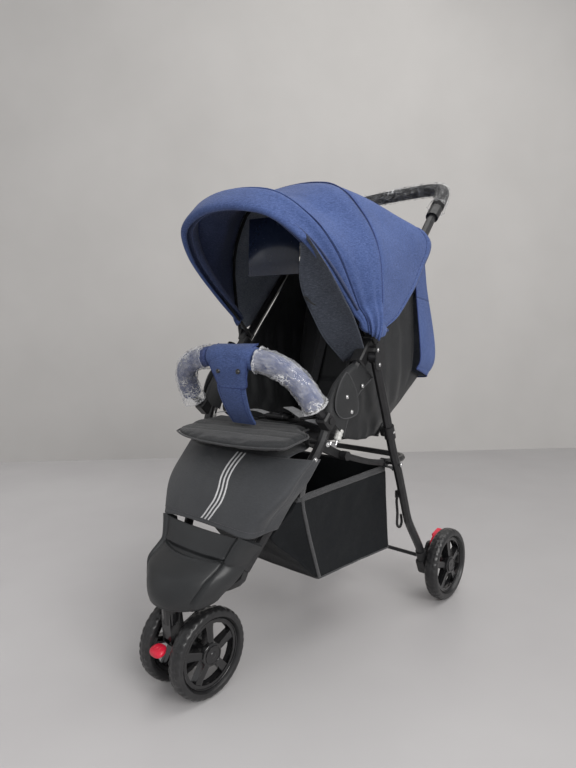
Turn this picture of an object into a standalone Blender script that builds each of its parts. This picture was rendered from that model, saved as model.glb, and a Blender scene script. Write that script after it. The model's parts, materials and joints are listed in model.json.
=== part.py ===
"""Three-wheel folding stroller with a canopy, bumper bar, basket and twin front wheels.

Metres, +Z up. The stroller faces -Y and is symmetric about the plane x = 0.
Lengths along Y are laid out from the front axle, then shifted by Y_SHIFT so that
the origin is under the middle of the whole part, on the ground.
"""
import math

import bmesh
import bpy
from mathutils import Matrix, Vector

# ------------------------------------------------------------------ dimensions
Y_SHIFT = -0.3119           # front axle to the middle of the part
GAP = 0.0003                # clearance between pieces that touch

TUBE_R = 0.0095             # main frame tube
ROD_R = 0.0045              # thin steel rod between the rear legs
BOW_R = 0.0040              # canopy wire

FRONT_WHEEL_R = 0.0800
FRONT_WHEEL_W = 0.0300
FRONT_WHEEL_X = 0.0430      # centre of each of the twin wheels
STEM_Y = -0.0450            # caster stem, ahead of the front axle
REAR_WHEEL_R = 0.0850
REAR_WHEEL_W = 0.0310
REAR_WHEEL_X = 0.1925
REAR_AXLE = (0.6260, 0.0850)

FOLD_PIVOT = (0.3000, 0.5980)   # (y, z) of the rear legs' pivots
LINK_PIVOT = (0.1780, 0.4440)   # side link on the side tube
LINK_KNEE = (0.2720, 0.4040)    # where the side link meets the seat rail
RAIL_PIVOT = (0.4160, 0.3660)   # seat rail on the rear leg
CANOPY_PIVOT = (0.3160, 0.6400)
LINK_X = 0.1315
RAIL_X = 0.1460

# a hole round a tube, wide enough for both to be faceted
TUBE_HOLE_R = (TUBE_R + GAP) / math.cos(math.pi / 12)

BUMPER_DIR = (0.0, -0.72, 0.694)    # the way the bumper bar pulls out

# ------------------------------------------------------------------ start clean
for _o in list(bpy.data.objects):
    bpy.data.objects.remove(_o, do_unlink=True)
for _m in list(bpy.data.meshes):
    bpy.data.meshes.remove(_m)

PARTS = bpy.data.collections.new("three_wheel_stroller")
bpy.context.scene.collection.children.link(PARTS)
CUTTERS = bpy.data.collections.new("cutters")
bpy.context.scene.collection.children.link(CUTTERS)

BLUE = (0.075, 0.095, 0.31)
LINING = (0.045, 0.05, 0.07)
CHARCOAL = (0.045, 0.046, 0.05)
BLACK = (0.012, 0.012, 0.014)
PLASTIC = (0.035, 0.038, 0.04)
STEEL_BLACK = (0.018, 0.018, 0.02)
FOAM = (0.02, 0.02, 0.02)
RED = (0.62, 0.01, 0.04)
WHITE = (0.75, 0.75, 0.72)
ZINC = (0.55, 0.55, 0.56)


def P(x, y, z):
    """A point given from the front axle, in the part's frame."""
    return Vector((x, y + Y_SHIFT, z))


def material(name, rgb, rough=0.6, metal=0.0):
    mat = bpy.data.materials.new(name)
    mat.use_nodes = True
    bsdf = mat.node_tree.nodes["Principled BSDF"]
    bsdf.inputs["Base Color"].default_value = (*rgb, 1)
    bsdf.inputs["Roughness"].default_value = rough
    bsdf.inputs["Metallic"].default_value = metal
    mat.diffuse_color = (*rgb, 1)
    return mat


def empty(name, at):
    e = bpy.data.objects.new(name, None)
    e.empty_display_size = 0.03
    e.location = at
    PARTS.objects.link(e)
    return e


def attach(obj, parent):
    """Parents obj to an empty that sits on a joint's axis, leaving it where it is."""
    bpy.context.view_layer.update()
    obj.parent = parent
    obj.matrix_parent_inverse = parent.matrix_world.inverted()
    return obj


def smooth_path(points, per=6, closed=False):
    """Points along a Catmull-Rom curve through the given points."""
    pts = [Vector(p) for p in points]
    out = []
    n = len(pts)
    for i in range(n if closed else n - 1):
        if closed:
            p0, p1, p2, p3 = (pts[(i + k - 1) % n] for k in range(4))
        else:
            p1, p2 = pts[i], pts[i + 1]
            p0 = pts[i - 1] if i else p1 * 2 - p2
            p3 = pts[i + 2] if i + 2 < n else p2 * 2 - p1
        for k in range(per):
            t = k / per
            out.append(0.5 * ((2 * p1) + (p2 - p0) * t + (2 * p0 - 5 * p1 + 4 * p2 - p3) * t * t
                              + (3 * p1 - p0 - 3 * p2 + p3) * t ** 3))
    if not closed:
        out.append(pts[-1])
    return out


def tube_curve(name, points, radius, sides=8):
    """A POLY curve with a round bevel and filled caps, through the given points."""
    curve = bpy.data.curves.new(name, "CURVE")
    curve.dimensions = "3D"
    curve.bevel_depth = radius
    curve.bevel_resolution = max(0, (sides - 4) // 2)
    curve.use_fill_caps = True
    spline = curve.splines.new("POLY")
    spline.points.add(len(points) - 1)
    for sp, p in zip(spline.points, points):
        sp.co = (*p, 1)
    obj = bpy.data.objects.new(name, curve)
    PARTS.objects.link(obj)
    return obj


def to_mesh(obj):
    """Turns a curve, or an object with modifiers, into a plain welded mesh object."""
    bpy.context.view_layer.update()
    graph = bpy.context.evaluated_depsgraph_get()
    mesh = bpy.data.meshes.new_from_object(obj.evaluated_get(graph))
    name, world = obj.name, obj.matrix_world.copy()
    bm = bmesh.new()
    bm.from_mesh(mesh)
    bmesh.ops.remove_doubles(bm, verts=bm.verts, dist=1e-6)
    bmesh.ops.recalc_face_normals(bm, faces=bm.faces)
    bm.to_mesh(mesh)
    bm.free()
    mesh.transform(world)
    bpy.data.objects.remove(obj, do_unlink=True)
    new = bpy.data.objects.new(name, mesh)
    PARTS.objects.link(new)
    return new


def tube(name, points, radius, sides=8):
    """A tube's mesh object, in world coordinates, without a material yet."""
    return to_mesh(tube_curve(name, points, radius, sides))


def boolean(obj, others, operation):
    """Applies one exact Boolean per tool object and removes the tools."""
    for other in others:
        for col in list(other.users_collection):
            col.objects.unlink(other)
        CUTTERS.objects.link(other)
        other.hide_render = True
        other.display_type = "WIRE"
        mod = obj.modifiers.new("join", "BOOLEAN")
        mod.operation = operation
        mod.solver = "EXACT"
        mod.object = other
    out = to_mesh(obj)
    for other in others:
        bpy.data.objects.remove(other, do_unlink=True)
    return out


def union(obj, *others):
    return boolean(obj, others, "UNION")


def cut(obj, *others):
    return boolean(obj, others, "DIFFERENCE")


def finish(obj, rgb, rough=0.6, metal=0.0, smooth=40):
    """Gives a plain mesh object its material and shading."""
    mesh = obj.data
    mesh.materials.clear()
    mesh.materials.append(material(obj.name, rgb, rough, metal))
    if smooth:
        mesh.shade_smooth()
        mesh.set_sharp_from_angle(angle=math.radians(smooth))
    return obj


def cylinder(name, a, b, radius, sides=16, radius_end=None):
    """A capped cylinder or cone from point a to point b."""
    a, b = Vector(a), Vector(b)
    bm = bmesh.new()
    bmesh.ops.create_cone(bm, cap_ends=True, cap_tris=False, segments=sides, radius1=radius,
                          radius2=radius if radius_end is None else radius_end, depth=(b - a).length)
    turn = (b - a).to_track_quat("Z", "Y").to_matrix().to_4x4()
    bmesh.ops.transform(bm, matrix=Matrix.Translation((a + b) / 2) @ turn, verts=bm.verts)
    mesh = bpy.data.meshes.new(name)
    bm.to_mesh(mesh)
    bm.free()
    obj = bpy.data.objects.new(name, mesh)
    PARTS.objects.link(obj)
    return obj


def block(name, centre, size, bevel=0.0, turn=None, segments=1):
    """A box with its edges rounded, turned by a matrix about its centre."""
    bm = bmesh.new()
    bmesh.ops.create_cube(bm, size=1.0)
    bmesh.ops.scale(bm, vec=Vector(size), verts=bm.verts)
    if bevel:
        bmesh.ops.bevel(bm, geom=list(bm.edges), offset=bevel, segments=segments, affect="EDGES", profile=0.5)
    m = Matrix.Translation(Vector(centre))
    if turn is not None:
        m = m @ turn.to_4x4()
    bmesh.ops.transform(bm, matrix=m, verts=bm.verts)
    mesh = bpy.data.meshes.new(name)
    bm.to_mesh(mesh)
    bm.free()
    obj = bpy.data.objects.new(name, mesh)
    PARTS.objects.link(obj)
    return obj


def loft(name, rings, caps=True, closed_rings=True, closed_way=False):
    """Skins rings of equal length, in order. With caps it is a closed body."""
    bm = bmesh.new()
    rows = [[bm.verts.new(Vector(p)) for p in ring] for ring in rings]
    n = len(rows[0])
    last = len(rows) if closed_way else len(rows) - 1
    for i in range(last):
        a, b = rows[i], rows[(i + 1) % len(rows)]
        for k in range(n if closed_rings else n - 1):
            bm.faces.new((a[k], a[(k + 1) % n], b[(k + 1) % n], b[k]))
    if caps and closed_rings and not closed_way:
        bm.faces.new(rows[0][::-1])
        bm.faces.new(rows[-1])
    bmesh.ops.recalc_face_normals(bm, faces=bm.faces)
    mesh = bpy.data.meshes.new(name)
    bm.to_mesh(mesh)
    bm.free()
    obj = bpy.data.objects.new(name, mesh)
    PARTS.objects.link(obj)
    return obj


def shell(name, rows, thickness, offset=0.0):
    """An open sheet through rows of points, with Solidify for its thickness."""
    obj = loft(name, rows, caps=False, closed_rings=False)
    mod = obj.modifiers.new("thickness", "SOLIDIFY")
    mod.thickness = thickness
    mod.offset = offset
    mod.use_even_offset = True
    mod.use_quality_normals = True
    return to_mesh(obj)


def plate(name, outline, thickness, at_x):
    """A flat plate in the YZ plane from a (y, z) outline, centred on x = at_x."""
    curve = bpy.data.curves.new(name, "CURVE")
    curve.dimensions = "2D"
    curve.fill_mode = "BOTH"
    curve.extrude = thickness / 2
    spline = curve.splines.new("POLY")
    spline.points.add(len(outline) - 1)
    for sp, (y, z) in zip(spline.points, outline):
        sp.co = (y + Y_SHIFT, z, 0, 1)
    spline.use_cyclic_u = True
    obj = bpy.data.objects.new(name, curve)
    # local x -> world y, local y -> world z, local z -> world x
    obj.matrix_world = Matrix(((0, 0, 1, at_x), (1, 0, 0, 0), (0, 1, 0, 0), (0, 0, 0, 1)))
    PARTS.objects.link(obj)
    return to_mesh(obj)


def lathe(name, profile, centre, steps=28):
    """Turns an (x, r) profile about the X axis through centre, with a Screw modifier."""
    bm = bmesh.new()
    verts = [bm.verts.new((r, 0.0, -x)) for x, r in profile]
    for i in range(len(verts)):
        bm.edges.new((verts[i], verts[(i + 1) % len(verts)]))
    mesh = bpy.data.meshes.new(name)
    bm.to_mesh(mesh)
    bm.free()
    obj = bpy.data.objects.new(name, mesh)
    PARTS.objects.link(obj)
    mod = obj.modifiers.new("turn", "SCREW")
    mod.axis = "Z"
    mod.steps = mod.render_steps = steps
    mod.use_merge_vertices = True
    mod.merge_threshold = 1e-5
    mod.use_normal_calculate = True
    # local -z -> world +x
    obj.matrix_world = Matrix.Translation(Vector(centre)) @ Matrix(
        ((0, 0, -1, 0), (0, 1, 0, 0), (1, 0, 0, 0), (0, 0, 0, 1)))
    return to_mesh(obj)


def rounded_outline(points, radius, per=3):
    """Rounds the corners of a closed (y, z) outline."""
    out = []
    n = len(points)
    for i in range(n):
        p = Vector((*points[i], 0))
        a = Vector((*points[i - 1], 0)) - p
        b = Vector((*points[(i + 1) % n], 0)) - p
        r = min(radius, a.length * 0.45, b.length * 0.45)
        p1, p2 = p + a.normalized() * r, p + b.normalized() * r
        for k in range(per + 1):
            t = k / per
            q = p1 * (1 - t) ** 2 + p * 2 * t * (1 - t) + p2 * t * t
            out.append((q.x, q.y))
    return out


def wheel(name, x, yz, radius, width, side, parent):
    """A tyre with a shallow tread and a five-spoke rim whose hub is closed on its outer side."""
    c = P(x, *yz)
    w = width / 2
    ri = radius * 0.775
    prof = [(-w * 0.55, ri), (-w * 0.95, ri + 0.004), (-w, radius * 0.88), (-w * 0.82, radius * 0.965), (-w * 0.42, radius),
            (w * 0.42, radius), (w * 0.82, radius * 0.965), (w, radius * 0.88), (w * 0.95, ri + 0.004), (w * 0.55, ri)]
    tyre = finish(lathe(name + "_tyre", prof, c, 24), FOAM, 0.75)
    ro = ri - GAP
    rim_prof = [(-w * 0.75, ro), (-w * 0.75, ro - 0.0075), (-w * 0.2, ro - 0.0045), (w * 0.2, ro - 0.0045),
                (w * 0.75, ro - 0.0075), (w * 0.75, ro)]
    # the tyre's inner face is narrower than the rim's flanges, so the rim stays inside it
    rim_prof = [(px * 0.7, pr) for px, pr in rim_prof]
    rim = lathe(name + "_rim", rim_prof, c, 24)
    s = side
    out_x, in_x = w * 0.98 * s, -w * 0.98 * s
    hub = cylinder("hub", c + Vector((in_x, 0, 0)), c + Vector((out_x, 0, 0)), 0.0165, 16, 0.0150)
    spokes = []
    for k in range(5):
        for d in (-0.085, 0.085):
            ang = 2 * math.pi * k / 5 + 0.35
            m = Matrix.Rotation(ang, 3, "X")
            along = m @ Vector((0, 1, 0))
            across = m @ Vector((0, 0, 1))
            a0, a1 = 0.010, ro - 0.0035
            mid = c + along * ((a0 + a1) / 2) + across * (d * 0.055)
            spokes.append(block("spoke", mid, (w * 0.85, a1 - a0, 0.0042), 0, m))
    rim = union(rim, hub, *spokes)
    bore = cylinder("bore", c + Vector((in_x * 1.2, 0, 0)), c + Vector((out_x * 0.72, 0, 0)), 0.0045, 12)
    rim = finish(cut(rim, bore), PLASTIC, 0.3)
    attach(tyre, parent)
    attach(rim, parent)


# ------------------------------------------------------------------ curves shared by several pieces
def side_tube_points(s):
    """Centre line of one side tube, from the nose up to the fold joint."""
    half = [(0.088, 0.050, 0.228), (0.097, 0.072, 0.262), (0.115, 0.104, 0.318), (0.133, 0.132, 0.365), (0.150, 0.161, 0.411),
            (0.160, 0.180, 0.448), (0.165, 0.200, 0.492), (0.169, 0.244, 0.549), (0.1705, 0.285, 0.596)]
    return smooth_path([P(s * x, y, z) for x, y, z in half], 2)


def handle_half(s):
    return [(0.1712, 0.3055, 0.6196), (0.1745, 0.360, 0.682), (0.178, 0.440, 0.772), (0.180, 0.515, 0.857), (0.1785, 0.562, 0.909),
            (0.1715, 0.612, 0.951), (0.1530, 0.654, 0.980), (0.1140, 0.676, 0.994), (0.0600, 0.686, 0.999), (0.0, 0.6885, 1.000)]


def handle_points():
    left = [P(-x, y, z) for x, y, z in handle_half(1)]
    right = [P(x, y, z) for x, y, z in handle_half(1)[:-1]][::-1]
    return smooth_path(left + right, 2)


def leg_points(s):
    pts = [(0.195, 0.300, 0.598), (0.191, 0.330, 0.532), (0.187, 0.353, 0.488), (0.180, 0.393, 0.403), (0.1755, 0.424, 0.351),
           (0.172, 0.449, 0.299), (0.169, 0.468, 0.260), (0.1665, 0.487, 0.222), (0.165, 0.518, 0.180), (0.164, 0.546, 0.142), (0.1635, 0.562, 0.110)]
    return smooth_path([P(s * x, y, z) for x, y, z in pts], 2)


def bow(al, k, xs, fs, radius, out=0.0, lift=0.0, n=24):
    """A canopy arch: it leans al degrees from +Y at its feet and al + k at its top.

    xs are its half widths at five heights, fs where the two shoulder points sit as a part of radius.
    """
    x = [xs[0], xs[1], xs[2], xs[3], xs[4], 0.0]
    r = [0.0, 0.28 * radius, 0.55 * radius, fs[0] * radius, fs[1] * radius, radius]
    pts = [Vector((a, b, 0)) for a, b in zip(x, r)]
    full = pts + [Vector((-p.x, p.y, 0)) for p in pts[-2::-1]]
    line = smooth_path(full, 6)
    # evenly spaced along its length
    cum = [0.0]
    for a, b in zip(line, line[1:]):
        cum.append(cum[-1] + (b - a).length)
    res = []
    for i in range(n + 1):
        t = cum[-1] * i / n
        j = max(1, next((q for q, v in enumerate(cum) if v >= t - 1e-12), len(cum) - 1))
        f = (t - cum[j - 1]) / (cum[j] - cum[j - 1])
        p = line[j - 1].lerp(line[j], f)
        tangent = (line[j] - line[j - 1]).normalized()
        normal = Vector((tangent.y, -tangent.x, 0))
        if normal.dot(Vector((p.x, p.y - radius * 0.3, 0))) < 0:
            normal = -normal
        p = p + normal * out
        ang = math.radians(al + k * max(0.0, min(1.0, p.y / radius)))
        rr = p.y + lift
        res.append(P(p.x, CANOPY_PIVOT[0] + rr * math.cos(ang), CANOPY_PIVOT[1] + rr * math.sin(ang)))
    return res


FRONT_X = (0.158, 0.163, 0.162, 0.148, 0.104)
FRONT_F = (0.748, 0.925)
FRONT_R = 0.3374
SEAM_X = (0.172, 0.182, 0.186, 0.165, 0.109)
SEAM_F = (0.769, 0.943)
SEAM_R = 0.3486
MID_X = (0.193, 0.199, 0.195, 0.165, 0.109)
MID_F = (0.770, 0.951)
MID_R = 0.3045


# ================================================================== frame
def build_side_tubes():
    for s, side in ((1, "right"), (-1, "left")):
        t = tube("side_tube_" + side, side_tube_points(s), TUBE_R, 8)
        # pins for the side link, on the inner face of the tube
        pin = cylinder("pin", P(s * 0.1555, *LINK_PIVOT), P(s * 0.1255, *LINK_PIVOT), 0.0030, 12)
        finish(union(t, pin), STEEL_BLACK, 0.4, 0.6)


def build_handle():
    t = tube("push_handle", handle_points(), TUBE_R, 8)
    finish(t, STEEL_BLACK, 0.4, 0.6)
    pts = handle_points()
    # the foam grip covers the crown, from one corner tube to the other
    a = next(i for i, p in enumerate(pts) if p.z > 0.920)
    b = len(pts) - 1 - a
    run = pts[a:b + 1]
    first = run[0] + (run[0] - run[1]).normalized() * 0.02
    last = run[-1] + (run[-1] - run[-2]).normalized() * 0.02
    foam = tube("handle_grip", run, 0.0148, 9)
    core = tube("core", [first] + run + [last], TUBE_HOLE_R + 0.0003, 12)
    finish(cut(foam, core), FOAM, 0.85)
    for s, side, i, step in ((-1, "left", a, 1), (1, "right", b, -1)):
        line = [pts[i], pts[i - step], pts[i - 2 * step]]
        d = (line[0] - line[1]).normalized()
        gap = (line[1] - line[0]).normalized() * 0.0032
        ring = tube("grip_cap_" + side, [line[0] + gap, line[1], line[1].lerp(line[2], 0.35)], 0.0142, 12)
        hole = tube("hole", [line[0] + d * 0.004, line[1], line[2]], TUBE_R + 0.0016, 12)
        finish(cut(ring, hole), BLACK, 0.5)


def build_joints():
    """Plastic sleeves that hold side tube and handle together, with the rear leg's pivot pin and its outer bracket."""
    for s, side in ((1, "right"), (-1, "left")):
        body = block("fold_joint_" + side, P(s * 0.1710, 0.2970, 0.6090), (0.0262, 0.0245, 0.0640), 0.003,
                     Matrix.Rotation(-0.715, 3, "X"))
        tube_a = tube("a", side_tube_points(s)[-8:] + [side_tube_points(s)[-1] + (side_tube_points(s)[-1] - side_tube_points(s)[-2]).normalized() * 0.0145], TUBE_HOLE_R, 12)
        hp = smooth_path([P(s * x, y, z) for x, y, z in handle_half(s)], 3)
        tube_b = tube("b", [hp[0] + (hp[0] - hp[1]).normalized() * 0.0145] + hp[:8], TUBE_HOLE_R, 12)
        body = cut(body, tube_a, tube_b)
        pin = cylinder("pin", P(s * 0.1822, *FOLD_PIVOT), P(s * 0.2078, *FOLD_PIVOT), 0.0036, 12)
        cap = plate("plate", rounded_outline([(0.283, 0.574), (0.312, 0.574), (0.317, 0.622), (0.288, 0.630)], 0.010), 0.0024, s * 0.2070)
        riv = cylinder("rivet", P(s * 0.2060, 0.297, 0.612), P(s * 0.2100, 0.297, 0.612), 0.0036, 10)
        # a strap over the top of the leg's eye ties the outer plate to the sleeve
        strap = block("strap", P(s * 0.1935, 0.3065, 0.6185), (0.0250, 0.0120, 0.0040), 0.0, Matrix.Rotation(0.15, 3, "X"))
        finish(union(body, pin, cap, riv, strap), BLACK, 0.45)


def nose_ring(w, yf, ye, zf, ze, n=16, power=0.75):
    """A U seen from above: from the left end round the front to the right end."""
    ring = []
    for i in range(n + 1):
        a = -math.pi / 2 + math.pi * i / n
        c = max(0.0, math.cos(a)) ** power
        ring.append(P(w * math.sin(a), ye - (ye - yf) * c, ze + (zf - ze) * c))
    return ring


def build_nose():
    rings = [nose_ring(0.0600, -0.0675, -0.005, 0.1755, 0.1765),
             nose_ring(0.0685, -0.0745, -0.004, 0.180, 0.186),
             nose_ring(0.0785, -0.0755, 0.004, 0.195, 0.201),
             nose_ring(0.0895, -0.0680, 0.020, 0.215, 0.218),
             nose_ring(0.0955, -0.0500, 0.034, 0.235, 0.233),
             nose_ring(0.0985, -0.0125, 0.044, 0.2535, 0.2475, power=0.7),
             nose_ring(0.1025, 0.0000, 0.049, 0.2655, 0.2560, power=0.35),
             nose_ring(0.1100, 0.0095, 0.054, 0.2830, 0.2670, power=0.30),
             nose_ring(0.1200, 0.0185, 0.060, 0.3000, 0.2780, power=0.28)]
    nose = shell("nose_cover", rings, 0.0030, -1.0)
    slot = block("slot", P(-0.0105, 0.012, 0.3000), (0.178, 0.050, 0.0120), 0.0)
    nose = cut(nose, slot)
    tubes = []
    for s in (1, -1):
        pts = side_tube_points(s)
        tubes.append(tube("t", [pts[0] - (pts[1] - pts[0]).normalized() * 0.03] + pts[:9], TUBE_R + 0.0008, 10))
    nose = cut(nose, *tubes)
    finish(nose, PLASTIC, 0.5, smooth=50)
    # the yoke that joins both side tubes to the caster housing, inside the nose
    hub = cylinder("front_yoke", P(0, STEM_Y, 0.1725), P(0, STEM_Y, 0.2080), 0.0150, 18)
    arms = []
    for s in (1, -1):
        p0 = side_tube_points(s)[0]
        d = (side_tube_points(s)[1] - p0).normalized()
        end = p0 - d * 0.0018
        arms.append(tube("arm", smooth_path([end, end - d * 0.022, P(s * 0.050, -0.002, 0.196), P(s * 0.005, -0.041, 0.190)], 3), 0.0082, 8))
    yoke = union(hub, *arms)
    bore = cylinder("bore", P(0, STEM_Y, 0.160), P(0, STEM_Y, 0.2025), 0.0084, 16)
    finish(cut(yoke, bore), BLACK, 0.5)


def build_bumper_sockets():
    """Sockets on the side tubes that take the ends of the bumper bar, each with a press button."""
    d = Vector(BUMPER_DIR).normalized()
    for s, side in ((1, "right"), (-1, "left")):
        base = P(s * 0.1690, 0.1800, 0.4860)
        turn = Vector((0, 0, 1)).rotation_difference(d).to_matrix()
        body = block("bumper_socket_" + side, base, (0.0250, 0.0250, 0.0300), 0.003, turn)
        pts = side_tube_points(s)
        body = cut(body,
                   tube("t", pts[9:21], TUBE_HOLE_R, 12),
                   cylinder("pocket", base - d * 0.0020, base + d * 0.03, 0.0084, 14),
                   cylinder("recess", base + Vector((s * 0.0078, 0, 0)) + d * 0.002, base + Vector((s * 0.02, 0, 0)) + d * 0.002, 0.0062, 14))
        finish(body, BLACK, 0.5)
        btn = cylinder("bumper_button_" + side, base + Vector((s * 0.0106, 0, 0)) + d * 0.002, base + Vector((s * 0.0146, 0, 0)) + d * 0.002, 0.0058, 14)
        finish(btn, PLASTIC, 0.4)
        attach(btn, empty("axis_button_" + side, base + Vector((s * 0.0146, 0, 0)) + d * 0.002))


def build_lock():
    """The folding lock: a channel riveted outside each side tube, with a ribbed sliding sleeve behind it."""
    for s, side in ((1, "right"), (-1, "left")):
        rod = cylinder("lock_channel_" + side, P(s * 0.1765, 0.1995, 0.4400), P(s * 0.1765, 0.2240, 0.4860), 0.0022, 10)
        foot = block("foot", P(s * 0.1725, 0.1930, 0.4415), (0.0095, 0.0200, 0.0075), 0.001, Matrix.Rotation(-0.45, 3, "X"))
        head = block("head", P(s * 0.1735, 0.2180, 0.4835), (0.0075, 0.0180, 0.0070), 0.001, Matrix.Rotation(-0.45, 3, "X"))
        rail = union(rod, foot, head)
        pts = side_tube_points(s)
        rail = cut(rail, tube("t", pts[9:21], TUBE_HOLE_R, 12))
        finish(rail, ZINC, 0.35, 0.9)
        lo = P(s * 0.1765, 0.2040, 0.4484)
        hi = P(s * 0.1765, 0.2137, 0.4667)
        sleeve = cylinder("lock_sleeve_" + side, lo, hi, 0.0066, 10)
        rings = [cylinder("rib", lo.lerp(hi, t - 0.07), lo.lerp(hi, t + 0.07), 0.0074, 10) for t in (0.16, 0.50, 0.84)]
        sleeve = union(sleeve, *rings)
        d = (hi - lo).normalized()
        finish(cut(sleeve, cylinder("hole", lo - d * 0.003, hi + d * 0.003, 0.0028, 8)), WHITE, 0.5)
        attach(bpy.data.objects["lock_sleeve_" + side], empty("axis_lock_" + side, (lo + hi) / 2))


# ================================================================== rear legs
def build_rear_legs():
    axis = empty("axis_fold", P(0, *FOLD_PIVOT))
    for s, side in ((1, "right"), (-1, "left")):
        pts = leg_points(s)
        leg = tube("rear_leg_" + side, pts, TUBE_R, 8)
        eye = cylinder("eye", P(s * 0.1859, *FOLD_PIVOT), P(s * 0.2054, *FOLD_PIVOT), 0.0112, 16)
        pin = cylinder("pin", P(s * 0.1745, *RAIL_PIVOT), P(s * 0.1375, *RAIL_PIVOT), 0.0030, 12)
        head = cylinder("head", P(s * 0.1750, *RAIL_PIVOT), P(s * 0.1885, *RAIL_PIVOT), 0.0040, 10)
        leg = union(leg, eye, pin, head)
        leg = cut(leg, cylinder("bore", P(s * 0.17, *FOLD_PIVOT), P(s * 0.22, *FOLD_PIVOT), 0.0040, 12))
        attach(finish(leg, STEEL_BLACK, 0.4, 0.6), axis)
        # plastic foot that carries the axle and the brake
        foot = plate("brake_housing_" + side, rounded_outline([(0.548, 0.108), (0.566, 0.070), (0.600, 0.062), (0.640, 0.066), (0.648, 0.100),
                                                              (0.632, 0.132), (0.604, 0.138), (0.586, 0.112)], 0.010), 0.0200, s * 0.1625)
        boss = cylinder("boss", P(s * 0.165, *REAR_AXLE), P(s * 0.1756, *REAR_AXLE), 0.0140, 18)
        axle = cylinder("axle", P(s * 0.165, *REAR_AXLE), P(s * 0.2020, *REAR_AXLE), 0.0040, 12)
        e = pts[-1]
        d = (pts[-1] - pts[-2]).normalized()
        cup = cylinder("cup", e - d * 0.024, e + d * 0.010, 0.0118, 14)
        foot = union(foot, boss, axle, cup)
        foot = cut(foot, tube("t", [pts[-4], pts[-3], pts[-2], e + d * 0.0006], TUBE_HOLE_R, 12),
                   cylinder("rod", P(-s * 0.02, 0.5950, 0.1000), P(s * 0.1600, 0.5950, 0.1000), ROD_R + GAP, 12),
                   block("pedal_slot", P(s * 0.1680, 0.6180, 0.1290), (0.0170, 0.0700, 0.0430), 0.0))
        attach(finish(foot, BLACK, 0.5), axis)
    rod = cylinder("rear_crossbar", P(-0.1596, 0.5950, 0.1000), P(0.1596, 0.5950, 0.1000), ROD_R, 12)
    attach(finish(rod, STEEL_BLACK, 0.4, 0.6), axis)
    hook = tube("storage_hook", smooth_path([P(0.1580, 0.4560, 0.2900), P(0.1500, 0.4640, 0.2700), P(0.1490, 0.4700, 0.2400),
                                             P(0.1490, 0.4690, 0.2140), P(0.1490, 0.4800, 0.2050), P(0.1490, 0.4890, 0.2140),
                                             P(0.1490, 0.4850, 0.2330)], 3), 0.0030, 8)
    tab = block("tab", P(0.1590, 0.4530, 0.2900), (0.0080, 0.0120, 0.0160), 0.001)
    hook = cut(union(hook, tab), tube("t", leg_points(1)[4:16], TUBE_HOLE_R, 12))
    attach(finish(hook, BLACK, 0.5), axis)


def build_brakes():
    """A red foot pedal at the inner side of each rear wheel, hinged on the plastic foot."""
    for s, side in ((1, "right"), (-1, "left")):
        pivot = P(s * 0.1680, 0.6200, 0.1240)
        lever = plate("brake_pedal_" + side, rounded_outline([(0.603, 0.1145), (0.633, 0.1145), (0.642, 0.134), (0.653, 0.147), (0.642, 0.159),
                                                              (0.614, 0.153), (0.598, 0.138)], 0.006), 0.0080, s * 0.1680)
        pad = block("pad", P(s * 0.1660, 0.6340, 0.1530), (0.0170, 0.0330, 0.0100), 0.003, Matrix.Rotation(0.25, 3, "X"))
        lever = union(lever, pad)
        attach(finish(lever, RED, 0.35), empty("axis_brake_" + side, pivot))


# ================================================================== side links and seat rail
def build_links():
    for s, side in ((1, "right"), (-1, "left")):
        a, b = Vector((*LINK_PIVOT, 0)), Vector((*LINK_KNEE, 0))
        d = (b - a).normalized()
        n = Vector((-d.y, d.x, 0))
        out = []
        for k in range(9):
            t = math.pi / 2 + math.pi * k / 8
            p = a + (d * math.cos(t) + n * math.sin(t)) * 0.0080
            out.append((p.x, p.y))
        for k in range(9):
            t = -math.pi / 2 + math.pi * k / 8
            p = b + (d * math.cos(t) + n * math.sin(t)) * 0.0080
            out.append((p.x, p.y))
        link = plate("side_link_" + side, out, 0.0090, s * LINK_X)
        link = cut(link, cylinder("hole", P(s * 0.11, *LINK_PIVOT), P(s * 0.15, *LINK_PIVOT), 0.0034, 12))
        knob = cylinder("knob", P(s * 0.1290, *LINK_KNEE), P(s * 0.1262, *LINK_KNEE), 0.0045, 10)
        link = union(link, knob)
        attach(finish(link, BLACK, 0.45), empty("axis_link_" + side, P(s * LINK_X, *LINK_PIVOT)))
    y, z = RAIL_PIVOT
    ky, kz = LINK_KNEE
    right = [(RAIL_X, ky, kz), (RAIL_X, 0.330, 0.3850), (RAIL_X, 0.375, 0.3730), (RAIL_X, y, z), (RAIL_X - 0.001, 0.470, 0.3615),
             (0.1400, 0.503, 0.3600), (0.1230, 0.524, 0.3590), (0.0950, 0.532, 0.3585), (0.05, 0.5335, 0.3585), (0, 0.534, 0.3585)]
    path = smooth_path([P(*p) for p in right] + [P(-a, b, c) for a, b, c in right[:-1][::-1]], 2)
    rail = tube("seat_rail", path, 0.0070, 6)
    for s in (1, -1):
        eye = cylinder("eye", P(s * 0.1390, y, z), P(s * 0.1530, y, z), 0.0088, 12)
        knee = cylinder("knee", P(s * 0.1385, ky, kz), P(s * 0.1530, ky, kz), 0.0095, 12)
        rail = union(rail, eye, knee)
    for s in (1, -1):
        rail = cut(rail, cylinder("bore", P(s * 0.12, y, z), P(s * 0.17, y, z), 0.0034, 12))
    attach(finish(rail, STEEL_BLACK, 0.4, 0.6), empty("axis_rail", P(0, *RAIL_PIVOT)))


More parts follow.
